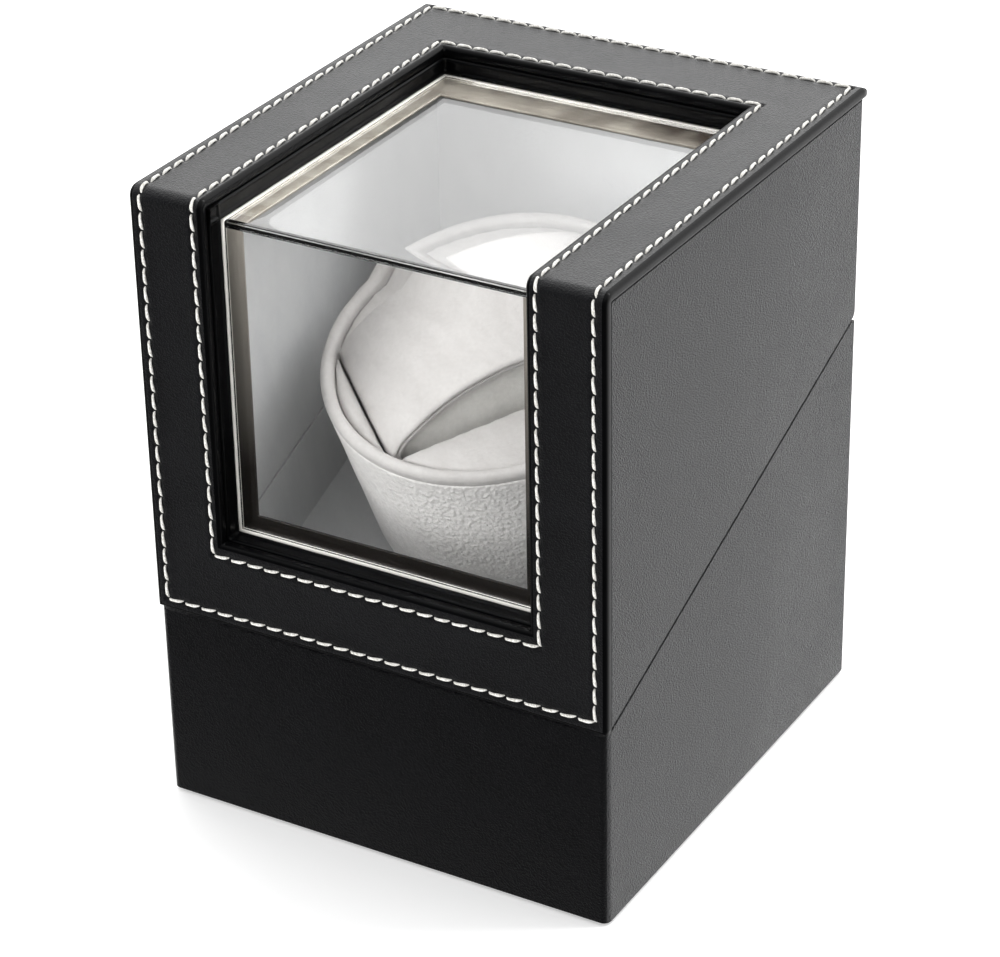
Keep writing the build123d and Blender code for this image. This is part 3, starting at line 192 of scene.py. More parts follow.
# ---------------------------------------------------------------- materials
class Paint:
    """One material's node tree, with short calls for the nodes that it needs."""

    def __init__(self, name, **constants):
        self.material = bpy.data.materials.new(name)
        self.material.use_nodes = True
        self.tree = self.material.node_tree
        self.shader = self.tree.nodes["Principled BSDF"]
        self.place = self.node("ShaderNodeTexCoord").outputs["Object"]
        for socket, value in constants.items():
            self.shader.inputs[socket.replace("_", " ")].default_value = value

    def node(self, kind, links=None, **settings):
        made = self.tree.nodes.new(kind)
        for key, value in settings.items():
            if hasattr(made, key):
                setattr(made, key, value)
        for socket, value in (links or {}).items():
            target = made.inputs[socket]
            if isinstance(value, bpy.types.NodeSocket):
                self.tree.links.new(value, target)
            else:
                target.default_value = value
        return made

    def noise(self, scale, detail=3.0, place=None, roughness=0.55):
        sockets = {
            "Vector": place or self.place, "Scale": scale, "Detail": detail, "Roughness": roughness,
        }
        return self.node("ShaderNodeTexNoise", sockets).outputs["Fac"]

    def cells(self, scale, place=None, feature="F1", randomness=1.0):
        sockets = {"Vector": place or self.place, "Scale": scale, "Randomness": randomness}
        return self.node("ShaderNodeTexVoronoi", sockets, feature=feature).outputs["Distance"]

    def stretched(self, turn, scale):
        """Coordinates turned by Euler angles, then scaled per axis."""
        turned = self.node("ShaderNodeMapping", {"Vector": self.place, "Rotation": turn})
        sized = {"Vector": turned.outputs[0], "Scale": scale}
        return self.node("ShaderNodeMapping", sized).outputs[0]

    def warped(self, scale, amount):
        """Coordinates pushed about by noise, so that a pattern isn't regular."""
        sockets = {"Vector": self.place, "Scale": scale, "Detail": 2.0}
        push = self.node("ShaderNodeTexNoise", sockets).outputs["Color"]
        sized = self.node("ShaderNodeVectorMath", {0: push, "Scale": amount}, operation="SCALE")
        links = {0: self.place, 1: sized.outputs[0]}
        return self.node("ShaderNodeVectorMath", links, operation="ADD").outputs[0]

    def math(self, operation, first, second=0.5, clamp=False):
        links = {0: first, 1: second}
        made = self.node("ShaderNodeMath", links, operation=operation, use_clamp=clamp)
        return made.outputs[0]

    def span(self, value, low, high, out_low=0.0, out_high=1.0):
        """A value remapped from one span to another, and held inside it."""
        sockets = {0: value, 1: low, 2: high, 3: out_low, 4: out_high}
        return self.node("ShaderNodeMapRange", sockets).outputs[0]

    def blend(self, factor, first, second):
        """A colour between two, by a factor."""
        made = self.node("ShaderNodeMix", data_type="RGBA")
        self.tree.links.new(factor, made.inputs[0])
        for index, colour in ((6, first), (7, second)):
            if isinstance(colour, bpy.types.NodeSocket):
                self.tree.links.new(colour, made.inputs[index])
            else:
                made.inputs[index].default_value = (*colour, 1.0)
        return made.outputs[2]

    def mix_heights(self, *parts):
        """The weighted sum of heights, each given as (height, weight)."""
        total = None
        for height, weight in parts:
            scaled = self.math("MULTIPLY", height, weight)
            total = scaled if total is None else self.math("ADD", total, scaled)
        return total

    def finish(self, colour=None, roughness=None, height=None, strength=0.5, distance=0.1):
        """Joins the colour, roughness and surface height to the shader; distance is in mm."""
        if colour is not None:
            self.tree.links.new(colour, self.shader.inputs["Base Color"])
        if roughness is not None:
            self.tree.links.new(roughness, self.shader.inputs["Roughness"])
        if height is not None:
            sockets = {"Height": height, "Strength": strength, "Distance": distance * MM}
            bump = self.node("ShaderNodeBump", sockets)
            self.tree.links.new(bump.outputs["Normal"], self.shader.inputs["Normal"])
        return self.material


def leather_material(name, tone, smoothness, crease, grain, depth, worn=False, **constants):
    """Black embossed leather; crease is how strongly its slanting creases show.

    Worn edges need a finely divided mesh, because their tone comes from its corners.
    """
    paint = Paint(name, **constants)
    pebbles = paint.cells(2300.0, paint.warped(1300.0, 0.0005))
    pores = paint.noise(6500.0, 2.0)
    slanting = paint.stretched((radians(-48), 0.0, 0.0), (1500.0, 3400.0, 1100.0))
    folds = paint.noise(1.0, 3.0, slanting)
    mottle = paint.noise(75.0, 5.0, roughness=0.65)
    broad = paint.noise(16.0, 3.0)
    split = paint.node("ShaderNodeSeparateXYZ", {0: paint.place})
    handled = paint.span(split.outputs["Y"], -0.065, 0.03, crease, crease * 0.35)
    creases = paint.math("MULTIPLY", folds, handled)
    height = paint.mix_heights((pebbles, grain), (creases, 1.0), (pores, 0.35), (mottle, 0.15))
    dark = tuple(channel * tone for channel in (0.0060, 0.0062, 0.0082))
    pale = tuple(channel * tone for channel in (0.0118, 0.0124, 0.0158))
    rubbed = tuple(channel * tone for channel in (0.05, 0.05, 0.052))
    shade = paint.blend(paint.span(mottle, 0.3, 0.75), dark, pale)
    if worn:
        edge = paint.span(paint.node("ShaderNodeNewGeometry").outputs["Pointiness"], 0.53, 0.60)
        wear = paint.math("MULTIPLY", edge, paint.span(broad, 0.35, 0.7), clamp=True)
        shade = paint.blend(wear, shade, rubbed)
    sheen = paint.mix_heights((mottle, 0.35), (broad, 0.25), (creases, 0.25), (pebbles, 0.3))
    rough = paint.span(sheen, 0.3, 0.75, smoothness - 0.10, smoothness + 0.12)
    return paint.finish(shade, rough, height, 1.0, depth)


def plush_material(name, pale, deep, nap, sheen):
    """Brushed velvet or suede: a fine pile with soft strokes of a darker tone."""
    paint = Paint(name, **{"Sheen_Weight": sheen, "Sheen_Roughness": 0.45, "Specular_IOR_Level": 0.15})
    brushed = paint.stretched((0.0, radians(25), radians(30)), (70.0, 190.0, 60.0))
    strokes = paint.noise(1.0, 4.0, brushed)
    pile = paint.noise(3800.0, 3.0, roughness=0.7)
    tufts = paint.noise(950.0, 4.0, paint.warped(400.0, 0.0008), 0.7)
    tone = paint.mix_heights((strokes, 0.55), (tufts, 0.45))
    colour = paint.blend(paint.span(tone, 0.36, 0.62), deep, pale)
    height = paint.mix_heights((pile, 0.6), (tufts, 0.8))
    rough = paint.span(tufts, 0.3, 0.7, 0.82, 0.98)
    return paint.finish(colour, rough, height, nap, 0.16)


def grained_material(name, pale, deep, cell, depth):
    """Pale leather with a coarse pebbled grain."""
    paint = Paint(name, **{"Specular_IOR_Level": 0.35, "Sheen_Weight": 0.15})
    place = paint.warped(420.0, 0.0011)
    pebbles = paint.cells(cell, place, feature="SMOOTH_F1")
    creases = paint.noise(cell * 0.7, 4.0, place, 0.6)
    colour = paint.blend(paint.span(pebbles, 0.2, 0.75), pale, deep)
    height = paint.mix_heights((pebbles, -1.0), (creases, 0.8))
    rough = paint.span(creases, 0.3, 0.7, 0.5, 0.72)
    return paint.finish(colour, rough, height, 0.8, depth)


def metal_material(name, pale, deep, roughness, brush):
    """Metal with fine brushing along X and a slightly uneven tone."""
    paint = Paint(name, Metallic=1.0)
    lines = paint.noise(1.0, 3.0, paint.stretched((0.0, 0.0, 0.0), (120.0, 2600.0, 2600.0)))
    haze = paint.noise(90.0, 4.0)
    colour = paint.blend(paint.span(haze, 0.3, 0.7), deep, pale)
    rough = paint.span(paint.mix_heights((lines, 0.5), (haze, 0.5)), 0.3, 0.7,
                       roughness - 0.08, roughness + 0.12)
    return paint.finish(colour, rough, lines, brush, 0.03)


def trim_material():
    """Champagne trim with painted light: a bright cream lip round the pane as a painted highlight, and a
    ledge behind it in painted shade.
    """
    paint = Paint("trim_metal")
    split = paint.node("ShaderNodeSeparateXYZ", {0: paint.place})
    x, y, z = (split.outputs[k] for k in "XYZ")
    ledge_depth, front_reach, upright_reach = 2.2, 4.0, 62.0
    front, top = PANE_LOW[1] + ledge_depth + front_reach, PANE_HIGH[2] - ledge_depth
    near, far = 0.2, 0.25           # where the lip begins, in from the pane's edges
    on_front = paint.span(y, front * MM, (front + 0.1) * MM, 1.0, 0.0)
    beside = paint.span(paint.math("ABSOLUTE", x), (PANE_HIGH[0] - far) * MM, (PANE_HIGH[0] - near) * MM)
    below = paint.span(z, (PANE_LOW[2] + near) * MM, (PANE_LOW[2] + far) * MM, 1.0, 0.0)
    behind = paint.span(y, (PANE_HIGH[1] - far) * MM, (PANE_HIGH[1] - near) * MM)
    lip = paint.math("MAXIMUM", paint.math("MAXIMUM", beside, below), behind)
    haze = paint.noise(170.0, 5.0, roughness=0.7)
    cloud = paint.noise(42.0, 3.0)
    lines = paint.noise(1.0, 3.0, paint.stretched((0.0, 0.0, 0.0), (160.0, 2400.0, 2400.0)))
    champagne = paint.blend(paint.span(haze, 0.35, 0.65), (0.40, 0.36, 0.30), (0.66, 0.62, 0.55))
    # towards the back the top leg turns a darker, mottled umber: painted shade
    umber = paint.blend(paint.span(cloud, 0.42, 0.66), (0.60, 0.55, 0.48), (0.11, 0.085, 0.065))
    over = paint.blend(paint.span(y, 0.018, 0.035), champagne, umber)
    # the upright runs from near black low down to champagne at the top: painted shade
    rise = paint.span(z, (top - upright_reach) * MM, top * MM)
    upright = paint.blend(rise, (0.014, 0.011, 0.009), (0.42, 0.385, 0.34))
    ledge = paint.blend(on_front, over, upright)
    # bright cream on the lip, made less metallic there: painted highlight
    colour = paint.blend(lip, ledge, (0.95, 0.93, 0.87))
    paint.tree.links.new(paint.span(lip, 0.0, 1.0, 0.6, 0.12), paint.shader.inputs["Metallic"])
    rough = paint.span(paint.mix_heights((lines, 0.4), (haze, 0.6)), 0.3, 0.7, 0.26, 0.48)
    return paint.finish(colour, rough, paint.mix_heights((lines, 0.6), (haze, 0.5)), 0.3, 0.04)


def moulded_material(name, colour, roughness, **constants):
    """Moulded plastic, enamel or wrap with a fine matt grain."""
    paint = Paint(name, **constants)
    spark = paint.noise(2400.0, 2.0)
    haze = paint.noise(130.0, 3.0)
    pale = tuple(min(1.0, channel * 1.12 + 0.004) for channel in colour)
    tint = paint.blend(paint.span(haze, 0.3, 0.7), colour, pale)
    rough = paint.span(haze, 0.3, 0.7, roughness - 0.06, roughness + 0.08)
    return paint.finish(tint, rough, spark, 0.35, 0.03)


def board_material():
    """Brown fibreboard with pressed fibres."""
    paint = Paint("fibreboard")
    pressed = paint.stretched((0.0, 0.0, radians(35)), (900.0, 260.0, 700.0))
    fibres = paint.noise(1.0, 5.0, pressed, 0.7)
    colour = paint.blend(paint.span(fibres, 0.32, 0.68), (0.155, 0.095, 0.052), (0.33, 0.225, 0.135))
    rough = paint.span(fibres, 0.3, 0.7, 0.75, 0.92)
    return paint.finish(colour, rough, fibres, 0.6, 0.12)


def circuit_material():
    """Green circuit board with darker traces in a coarse weave."""
    paint = Paint("circuit_board", **{"Coat_Weight": 0.4, "Coat_Roughness": 0.2})
    traces = paint.cells(420.0, feature="DISTANCE_TO_EDGE", randomness=0.6)
    weave = paint.noise(1500.0, 2.0)
    colour = paint.blend(paint.span(traces, 0.04, 0.1), (0.05, 0.17, 0.06), (0.008, 0.07, 0.03))
    return paint.finish(colour, paint.span(weave, 0.3, 0.7, 0.38, 0.55), traces, 0.3, 0.05)


def thread_material():
    """Cream twisted thread."""
    paint = Paint("stitch_thread", **{"Sheen_Weight": 0.3, "Specular_IOR_Level": 0.3})
    twist = paint.stretched((radians(35), radians(35), 0.0), (2600.0, 2600.0, 900.0))
    strands = paint.noise(1.0, 2.0, twist)
    colour = paint.blend(paint.span(strands, 0.3, 0.65), (0.50, 0.485, 0.44), (0.93, 0.92, 0.88))
    return paint.finish(colour, paint.span(strands, 0.3, 0.7, 0.55, 0.75), strands, 0.6, 0.08)


def acrylic_material():
    """Clear acrylic that lets lamps light what is behind it."""
    paint = Paint("clear_acrylic", Roughness=0.02, IOR=1.49, **{"Transmission_Weight": 1.0})
    paint.shader.inputs["Base Color"].default_value = (0.985, 0.99, 0.985, 1.0)
    waves = paint.noise(9.0, 1.0)
    paint.finish(height=waves, strength=0.05, distance=0.5)
    clear = paint.node("ShaderNodeBsdfTransparent")
    rays = paint.node("ShaderNodeLightPath")
    mixed = paint.node("ShaderNodeMixShader", {0: rays.outputs["Is Shadow Ray"]})
    paint.tree.links.new(paint.shader.outputs[0], mixed.inputs[1])
    paint.tree.links.new(clear.outputs[0], mixed.inputs[2])
    paint.tree.links.new(mixed.outputs[0], paint.tree.nodes["Material Output"].inputs["Surface"])
    return paint.material


FACE_LEATHER = leather_material("face_leather", 0.45, 0.42, 0.5, 0.8, 0.20, worn=True,
                                Specular_IOR_Level=0.34, Coat_Weight=0.17, Coat_Roughness=0.16)
# a darker copy of the face leather for the base's front faces: painted shade
PAINTED_SHADE_FRONT_LEATHER = leather_material("painted_shade_front_leather", 0.3, 0.44, 0.5, 0.8, 0.20,
                               Specular_IOR_Level=0.20, Coat_Weight=0.10, Coat_Roughness=0.2)
# a much darker copy of the face leather for the panel's rolled edges, the opening and the wrapped boards:
# painted shade in edges and recesses
PAINTED_SHADE_EDGE_LEATHER = leather_material("painted_shade_edge_leather", 0.12, 0.5, 0.0, 0.25, 0.04, worn=True,
                                  Specular_IOR_Level=0.04, Coat_Weight=0.2, Coat_Roughness=0.10)
BODY_LEATHER = leather_material("body_leather", 1.1, 0.36, 4.6, 2.6, 0.85,
                                Specular_IOR_Level=0.56)
VELVET = plush_material("grey_velvet", (0.735, 0.74, 0.745), (0.67, 0.675, 0.685), 0.35, 0.25)
SUEDE = plush_material("cream_suede", (0.64, 0.62, 0.61), (0.555, 0.535, 0.525), 0.9, 0.10)
CUP_LEATHER = grained_material("cream_leather", (0.95, 0.93, 0.915), (0.82, 0.80, 0.785), 1000.0, 0.40)
THREAD = thread_material()
ACRYLIC = acrylic_material()

SLOT_MATERIALS = {
    "black_leather": BODY_LEATHER,
    "fibreboard": board_material(),
    "grey_velvet": VELVET,
    "cream_suede": SUEDE,
    "cream_leather": CUP_LEATHER,
    "foam": plush_material("foam", (0.84, 0.83, 0.80), (0.70, 0.69, 0.66), 0.6, 0.15),
    "black_felt": plush_material("black_felt", (0.028, 0.028, 0.030), (0.012, 0.012, 0.013), 0.9, 0.3),
    "clear_acrylic": ACRYLIC,
    "champagne_metal": trim_material(),
    "black_plastic": moulded_material("black_plastic", (0.016, 0.016, 0.017), 0.42),
    "white_plastic": moulded_material("white_plastic", (0.74, 0.74, 0.72), 0.4),
    "steel": metal_material("steel", (0.40, 0.40, 0.41), (0.29, 0.29, 0.30), 0.34, 0.2),
    "bronze": metal_material("bronze", (0.58, 0.40, 0.20), (0.42, 0.27, 0.12), 0.32, 0.2),
    "copper": metal_material("copper", (0.75, 0.38, 0.22), (0.55, 0.25, 0.13), 0.3, 0.4),
    "circuit_board": circuit_material(),
    "battery_wrap": moulded_material("battery_wrap", (0.03, 0.09, 0.16), 0.3, Coat_Weight=0.4),
    "wire_insulation": moulded_material("wire_insulation", (0.30, 0.02, 0.02), 0.38),
}

WRAPPED_BOARDS = ("face_panel_board", "lid_front_board")     # their lower edges show when the lid is open

for subpart in frame["record"]["subparts"]:
    mesh = NODES[subpart["node"]].data
    wrapped = subpart["node"] in WRAPPED_BOARDS
    mesh.materials.clear()
    # the wrapped boards take the darker copy of the leather: painted shade
    mesh.materials.append(PAINTED_SHADE_EDGE_LEATHER if wrapped else SLOT_MATERIALS[subpart["material_slot"]])


# ---------------------------------------------------------------- stitched face panel
PATH = BentPath(FRONT, TOP, PANEL_BEND)
ROWS_IN = 3.2                   # from the panel's outer edge to the outer row of stitches
ROW_OPENING = 2.6               # from the opening to the inner row
STITCH_PITCH = 4.7
STITCH_LENGTH = 4.2
THREAD_RADIUS = 0.36
EDGE_ROUND = 1.15
EDGE_UNDER = 0.9
OUTER = (FACE_LOW[2], PATH.at_depth(BACK))
INNER = (WINDOW_LOW, PATH.at_depth(WINDOW_BACK))
STITCH_ROWS = [
    (HALF_WIDTH - ROWS_IN, OUTER[0] + ROWS_IN, OUTER[1] - ROWS_IN + 0.9),
    (WINDOW_HALF + ROW_OPENING, INNER[0] - ROW_OPENING - 0.8, INNER[1] + ROW_OPENING),
]


def row_sides():
    """The four sides of each row of stitches: start, direction, length and number of stitches."""
    for half, low, high in STITCH_ROWS:
        for start, direction, length in (
            ((-half, low), (1, 0), 2 * half),
            ((half, low), (0, 1), high - low),
            ((half, high), (-1, 0), 2 * half),
            ((-half, high), (0, -1), high - low),
        ):
            count = round(length / STITCH_PITCH)
            yield np.array(start), np.array(direction), length, count


def face_relief(u, s):
    """How far the leather of the face lies below its flat surface."""
    groove_depth, hole_depth, bulge, crumple_depth = 0.16, 0.30, 0.05, 0.07
    depth = 0.05 + 0.05 * lump(np.stack([u, s, 0 * u], axis=-1), 14.0, 1)
    for start, direction, length, count in row_sides():
        along = (u - start[0]) * direction[0] + (s - start[1]) * direction[1]
        off = (u - start[0]) * direction[1] - (s - start[1]) * direction[0]
        near = (along > -0.8) & (along < length + 0.8)
        pitch = length / count
        to_hole = np.abs((along / pitch + 0.5) % 1 - 0.5) * pitch
        groove = groove_depth * np.exp(-(off / 0.75) ** 2)
        hole = hole_depth * np.exp(-(off / 0.5) ** 2 - (to_hole / 0.55) ** 2)
        beside = -bulge * np.exp(-((np.abs(off) - 1.5) / 0.7) ** 2)
        depth = depth + np.where(near, groove + hole + beside, 0.0)
    crumple = np.exp(-(((s - PATH.turn) - 2.2) / 2.6) ** 2)
    wrinkle = lump(np.stack([u * 0.9, s * 2.2, 0 * u], axis=-1), 2.6, 2)
    return depth + crumple_depth * crumple * wrinkle


def face_skin():
    """The leather of the L-shaped panel, rolled round its edges and round the opening."""
    half = HALF_WIDTH - EDGE_ROUND
    window = WINDOW_HALF + EDGE_ROUND
    side = ruler((window, 0.35), (window + 3.4, 1.0), (half - 4.2, 0.35), (half, 1))
    us = np.concatenate([-side[::-1], ruler((-window, 0.9), (window, 1))[1:-1], side])
    ss = ruler(
        (OUTER[0] + EDGE_ROUND, 0.35), (OUTER[0] + 5.2, 0.8), (INNER[0] - 5.2, 0.35),
        (INNER[0] - EDGE_ROUND, 0.6), (INNER[1] + EDGE_ROUND, 0.35), (INNER[1] + 5.0, 0.8),
        (OUTER[1] - 4.6, 0.35), (OUTER[1] - EDGE_ROUND, 1),
    )
    rows, columns = len(ss), len(us)
    j0, j1 = len(side) - 1, columns - len(side)
    i0 = int(np.argmin(np.abs(ss - (INNER[0] - EDGE_ROUND))))
    i1 = int(np.argmin(np.abs(ss - (INNER[1] + EDGE_ROUND))))
    grid_s, grid_u = np.meshgrid(ss, us, indexing="ij")
    u, s = grid_u.ravel(), grid_s.ravel()
    flat = face_relief(u, s)
    coords = [np.stack([u, s, flat, np.zeros_like(u)], axis=-1)]
    faces = grid_faces(rows, columns, lambda i, j: i0 <= i < i1 and j0 <= j < j1)
    total = rows * columns
    rolled_from = len(faces)
    loops = (
        (loop_round(columns, 0, rows - 1, 0, columns - 1), 1.0),
        (loop_round(columns, i0, i1, j0, j1), -1.0),
    )
    for (index, away), sign in loops:
        direction = away * sign
        on_joint = (direction[:, 1] < 0) & (s[index] < OUTER[0] + 3)
        previous = index
        for step, depth in edge_rings(EDGE_ROUND, PANEL - 0.12, EDGE_UNDER, 0.9):
            ring_u = u[index] + direction[:, 0] * step
            ring_s = s[index] + direction[:, 1] * step
            ring_h = np.maximum(flat[index] * max(0.0, 1 - depth), 0.0) + depth
            slope = np.where(on_joint, JOINT_SLOPE * depth, 0.0)
            coords.append(np.stack([ring_u, ring_s, ring_h, slope], axis=-1))
            ring = np.arange(total, total + len(index))
            total += len(index)
            for a in range(len(index)):
                b = (a + 1) % len(index)
                quad = (previous[b], previous[a], ring[a], ring[b])
                faces.append(quad if sign > 0 else quad[::-1])
            previous = ring
    data = np.concatenate(coords)
    points = PATH.points(data[:, 0], data[:, 1] + data[:, 3], data[:, 2])
    made = piece("face_skin", points, faces, "lid", FACE_LEATHER)
    made.data.materials.append(PAINTED_SHADE_EDGE_LEATHER)
    # the rolled edge faces take the darker copy of the leather: painted shade round the panel's edges and
    # the opening
    for polygon in made.data.polygons:
        polygon.material_index = int(polygon.index >= rolled_from)
    stand_for(made, "black_leather", "face_leather")
    drop_loose(made)
    return made


def opening_leather():
    """The leather turned into the opening of the lid's walls, between the panel and the pane."""
    start = PANEL - 0.15
    depth = PANE_LOW[1] - FRONT
    line = rounded([
        (start, -1.2, 0), (start, 0.75, 0.7), (start + 0.9, 0.28, 0.9), (depth - 1.4, 0.28, 0.9),
        (depth - 0.9, 0.62, 0.5), (depth - 0.02, 0.62, 0.5), (depth - 0.02, -0.3, 0),
    ])
    us = ruler((-WINDOW_HALF, 1.2), (WINDOW_HALF, 1))
    ss = ruler((INNER[0], 1.2), (PATH.turn, 0.3), (PATH.flat, 1.2), (INNER[1], 1))
    grid_s, grid_u = np.meshgrid(ss, us, indexing="ij")
    index, direction = loop_round(len(us), 0, len(ss) - 1, 0, len(us) - 1)
    u, s = grid_u.ravel()[index], grid_s.ravel()[index]
    uneven = 0.08 * lump(np.stack([u, s, 0 * u], axis=-1), 5.0, 21)
    rings = []
    for h, inward in line:
        reach = inward + uneven * (inward > 0)
        rings.append(PATH.points(u - direction[:, 0] * reach, s - direction[:, 1] * reach, h))
    # the opening is lined with the darker copy of the leather: painted shade in the recess
    made = piece("opening_leather", np.concatenate(rings), ring_skin(rings), "lid", PAINTED_SHADE_EDGE_LEATHER)
    drop_loose(made)
    stand_for(made, "black_leather")
    return made


def drop_loose(made):
    """Removes points that no face uses and turns every face outwards."""
    work = bmesh.new()
    work.from_mesh(made.data)
    loose = [v for v in work.verts if not v.link_faces]
    bmesh.ops.delete(work, geom=loose, context="VERTS")
    bmesh.ops.recalc_face_normals(work, faces=work.faces[:])
    work.to_mesh(made.data)
    work.free()


def face_stitching():
    """Both rows of slanting cream stitches, each a twisted thread that dives into its holes."""
    along = np.linspace(-1, 1, 11)
    turn = np.arange(8) * tau / 8
    points, faces = [], []
    for start, direction, length, count in row_sides():
        pitch = length / count
        sideways = np.array([-direction[1], direction[0]])
        for k in range(count):
            centre = start + direction * pitch * (k + 0.5)
            wobble = 0.06 * sin(k * 2.4 + start[0])
            t, a = np.meshgrid(along, turn, indexing="ij")
            thick = THREAD_RADIUS * (1 - 0.5 * np.abs(t) ** 5) * (1 + 0.13 * np.cos(2 * a + 4.2 * t))
            reach = STITCH_LENGTH / 2 * pitch / STITCH_PITCH
            off = (0.22 + wobble) * t + thick * np.cos(a)
            depth = 0.42 * np.abs(t) ** 5 - 0.16 * (1 - t ** 2) - thick * np.sin(a)
            u = centre[0] + direction[0] * t * reach + sideways[0] * off
            s = centre[1] + direction[1] * t * reach + sideways[1] * off
            base = len(points) * len(along) * len(turn)
            points.append(PATH.points(u, s, depth).reshape(-1, 3))
            for i in range(len(along) - 1):
                for j in range(len(turn)):
                    row, following = i * len(turn), (j + 1) % len(turn)
                    faces.append((base + row + j, base + row + following,
                                  base + row + len(turn) + following, base + row + len(turn) + j))
            faces.append(tuple(base + j for j in range(len(turn)))[::-1])
            last = base + (len(along) - 1) * len(turn)
            faces.append(tuple(last + j for j in range(len(turn))))
    made = piece("face_stitching", np.concatenate(points), faces, "lid", THREAD)
    stand_for(made, "cream_suede")
    drop_loose(made)
    return made


# ---------------------------------------------------------------- pieces eased from CAD nodes
def eased_copy(node, name, body, material, slot, width):
    """A CAD node's shape with its sharp edges rolled over."""
    work = bmesh.new()
    work.from_mesh(NODES[node].data)
    bmesh.ops.remove_doubles(work, verts=work.verts[:], dist=0.002 * MM)
    bmesh.ops.dissolve_limit(
        work, angle_limit=radians(1.0), use_dissolve_boundaries=False,
        verts=work.verts[:], edges=work.edges[:],
    )
    sharp = [
        e for e in work.edges
        if len(e.link_faces) == 2 and e.calc_face_angle(0.0) > radians(30)
    ]
    rolled = bmesh.ops.bevel(
        work, geom=sharp, offset=width * MM, offset_type="OFFSET", segments=3,
        profile=0.5, affect="EDGES", clamp_overlap=True,
    )
    for face in work.faces:
        face.smooth = False
    for face in rolled["faces"]:
        face.smooth = True
    bmesh.ops.triangulate(work, faces=[f for f in work.faces if len(f.verts) > 4])
    mesh = bpy.data.meshes.new(name)
    work.to_mesh(mesh)
    work.free()
    made = bpy.data.objects.new(name, mesh)
    bpy.context.scene.collection.objects.link(made)
    mesh.set_sharp_from_angle(angle=radians(40))
    mesh.materials.append(material)
    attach(made, body)
    stand_for(made, slot, node)
    return made


def wraps():
    """The leather round the lid and the base, and the trim behind the pane."""
    eased_copy("lid_leather", "lid_wrap", "lid", BODY_LEATHER, "black_leather", 0.55)
    base = eased_copy("base_leather", "base_wrap", "base", BODY_LEATHER, "black_leather", 0.55)
    # faces turned to the front take the darker copy of the leather: painted shade
    base.data.materials.append(PAINTED_SHADE_FRONT_LEATHER)
    for polygon in base.data.polygons:
        polygon.material_index = int(polygon.normal.y < -0.7)
    metal = SLOT_MATERIALS["champagne_metal"]
    eased_copy("window_trim", "trim_frame", "lid", metal, "champagne_metal", 0.3)


# ---------------------------------------------------------------- pane
def window_pane():
    """The bent pane, with polished edges."""
    path = BentPath(PANE_LOW[1], PANE_HIGH[2], PANE_BEND)
    thick, ease = 1.9, 0.3
    half, low = PANE_HIGH[0] - PANE_PLAY, PANE_LOW[2] + PANE_PLAY
    back = path.at_depth(PANE_HIGH[1] - PANE_PLAY)
    us = ruler((-half + ease, 6.0), (half - ease, 1))
    ss = ruler((low + ease, 6.0), (path.turn, 0.2), (path.flat, 6.0), (back - ease, 1))
    rows, columns = len(ss), len(us)
    grid_s, grid_u = np.meshgrid(ss, us, indexing="ij")
    u, s = grid_u.ravel(), grid_s.ravel()
    outside = path.points(u, s, 0.0)
    inside = path.points(u, s, thick)
    faces = [f[::-1] for f in grid_faces(rows, columns)]
    faces += [tuple(k + rows * columns for k in f) for f in grid_faces(rows, columns)]
    points = [outside, inside]
    index, direction = loop_round(columns, 0, rows - 1, 0, columns - 1)
    previous, total = index, 2 * rows * columns
    for depth in (ease, thick - ease):
        edge_u = u[index] + direction[:, 0] * ease
        edge_s = s[index] + direction[:, 1] * ease
        points.append(path.points(edge_u, edge_s, depth))
        ring = np.arange(total, total + len(index))
        total += len(index)
        faces += [(previous[a], previous[a - 1], ring[a - 1], ring[a]) for a in range(len(index))]
        previous = ring
    inner = index + rows * columns
    faces += [(previous[a], previous[a - 1], inner[a - 1], inner[a]) for a in range(len(index))]
    made = piece("pane", np.concatenate(points), faces, "lid", ACRYLIC)
    drop_loose(made)
    made.data.set_sharp_from_angle(angle=radians(35))
    stand_for(made, "clear_acrylic", "window_pane")
    return made


# ---------------------------------------------------------------- cup
def rounded(corners):
    """Points of an open outline whose corners, given as (x, y, radius), are rounded."""
    out = [np.array(corners[0][:2], dtype=float)]
    for before, corner, after in zip(corners, corners[1:], corners[2:]):
        here = np.array(corner[:2], dtype=float)
        to_before = np.array(before[:2]) - here
        to_after = np.array(after[:2]) - here
        to_before /= np.linalg.norm(to_before)
        to_after /= np.linalg.norm(to_after)
        radius = corner[2]
        if radius <= 0:
            out.append(here)
            continue
        half = np.arccos(np.clip(to_before @ to_after, -1, 1)) / 2
        start = here + to_before * radius / np.tan(half)
        end = here + to_after * radius / np.tan(half)
        middle = here + (to_before + to_after) / np.linalg.norm(to_before + to_after) * radius / sin(half)
        a0 = np.arctan2(*(start - middle)[::-1])
        sweep = (np.arctan2(*(end - middle)[::-1]) - a0 + pi) % tau - pi
        steps = max(3, int(abs(sweep) * 5) + 1)
        out += [middle + radius * np.array([cos(a0 + sweep * f), sin(a0 + sweep * f)])
                for f in np.linspace(0, 1, steps)]
    out.append(np.array(corners[-1][:2], dtype=float))
    return np.array(out)


def refined(line, step):
    """An outline with points added so that no span is longer than step."""
    out = [line[0]]
    for a, b in zip(line, line[1:]):
        count = max(1, int(np.ceil(np.linalg.norm(b - a) / step)))
        out += [a + (b - a) * k / count for k in range(1, count + 1)]
    return np.array(out)


def cup_places(radius, level, angle):
    """Points of the cup's frame, from radius, level along its axis and angle round it."""
    radius, level, angle = np.broadcast_arrays(radius, level, angle)
    x = (radius * np.cos(angle))[..., None] * np.array(ACROSS)
    y = (radius * np.sin(angle))[..., None] * np.array(UPHILL)
    return np.array(CUP_RIM) + x + y + level[..., None] * np.array(AXIS)


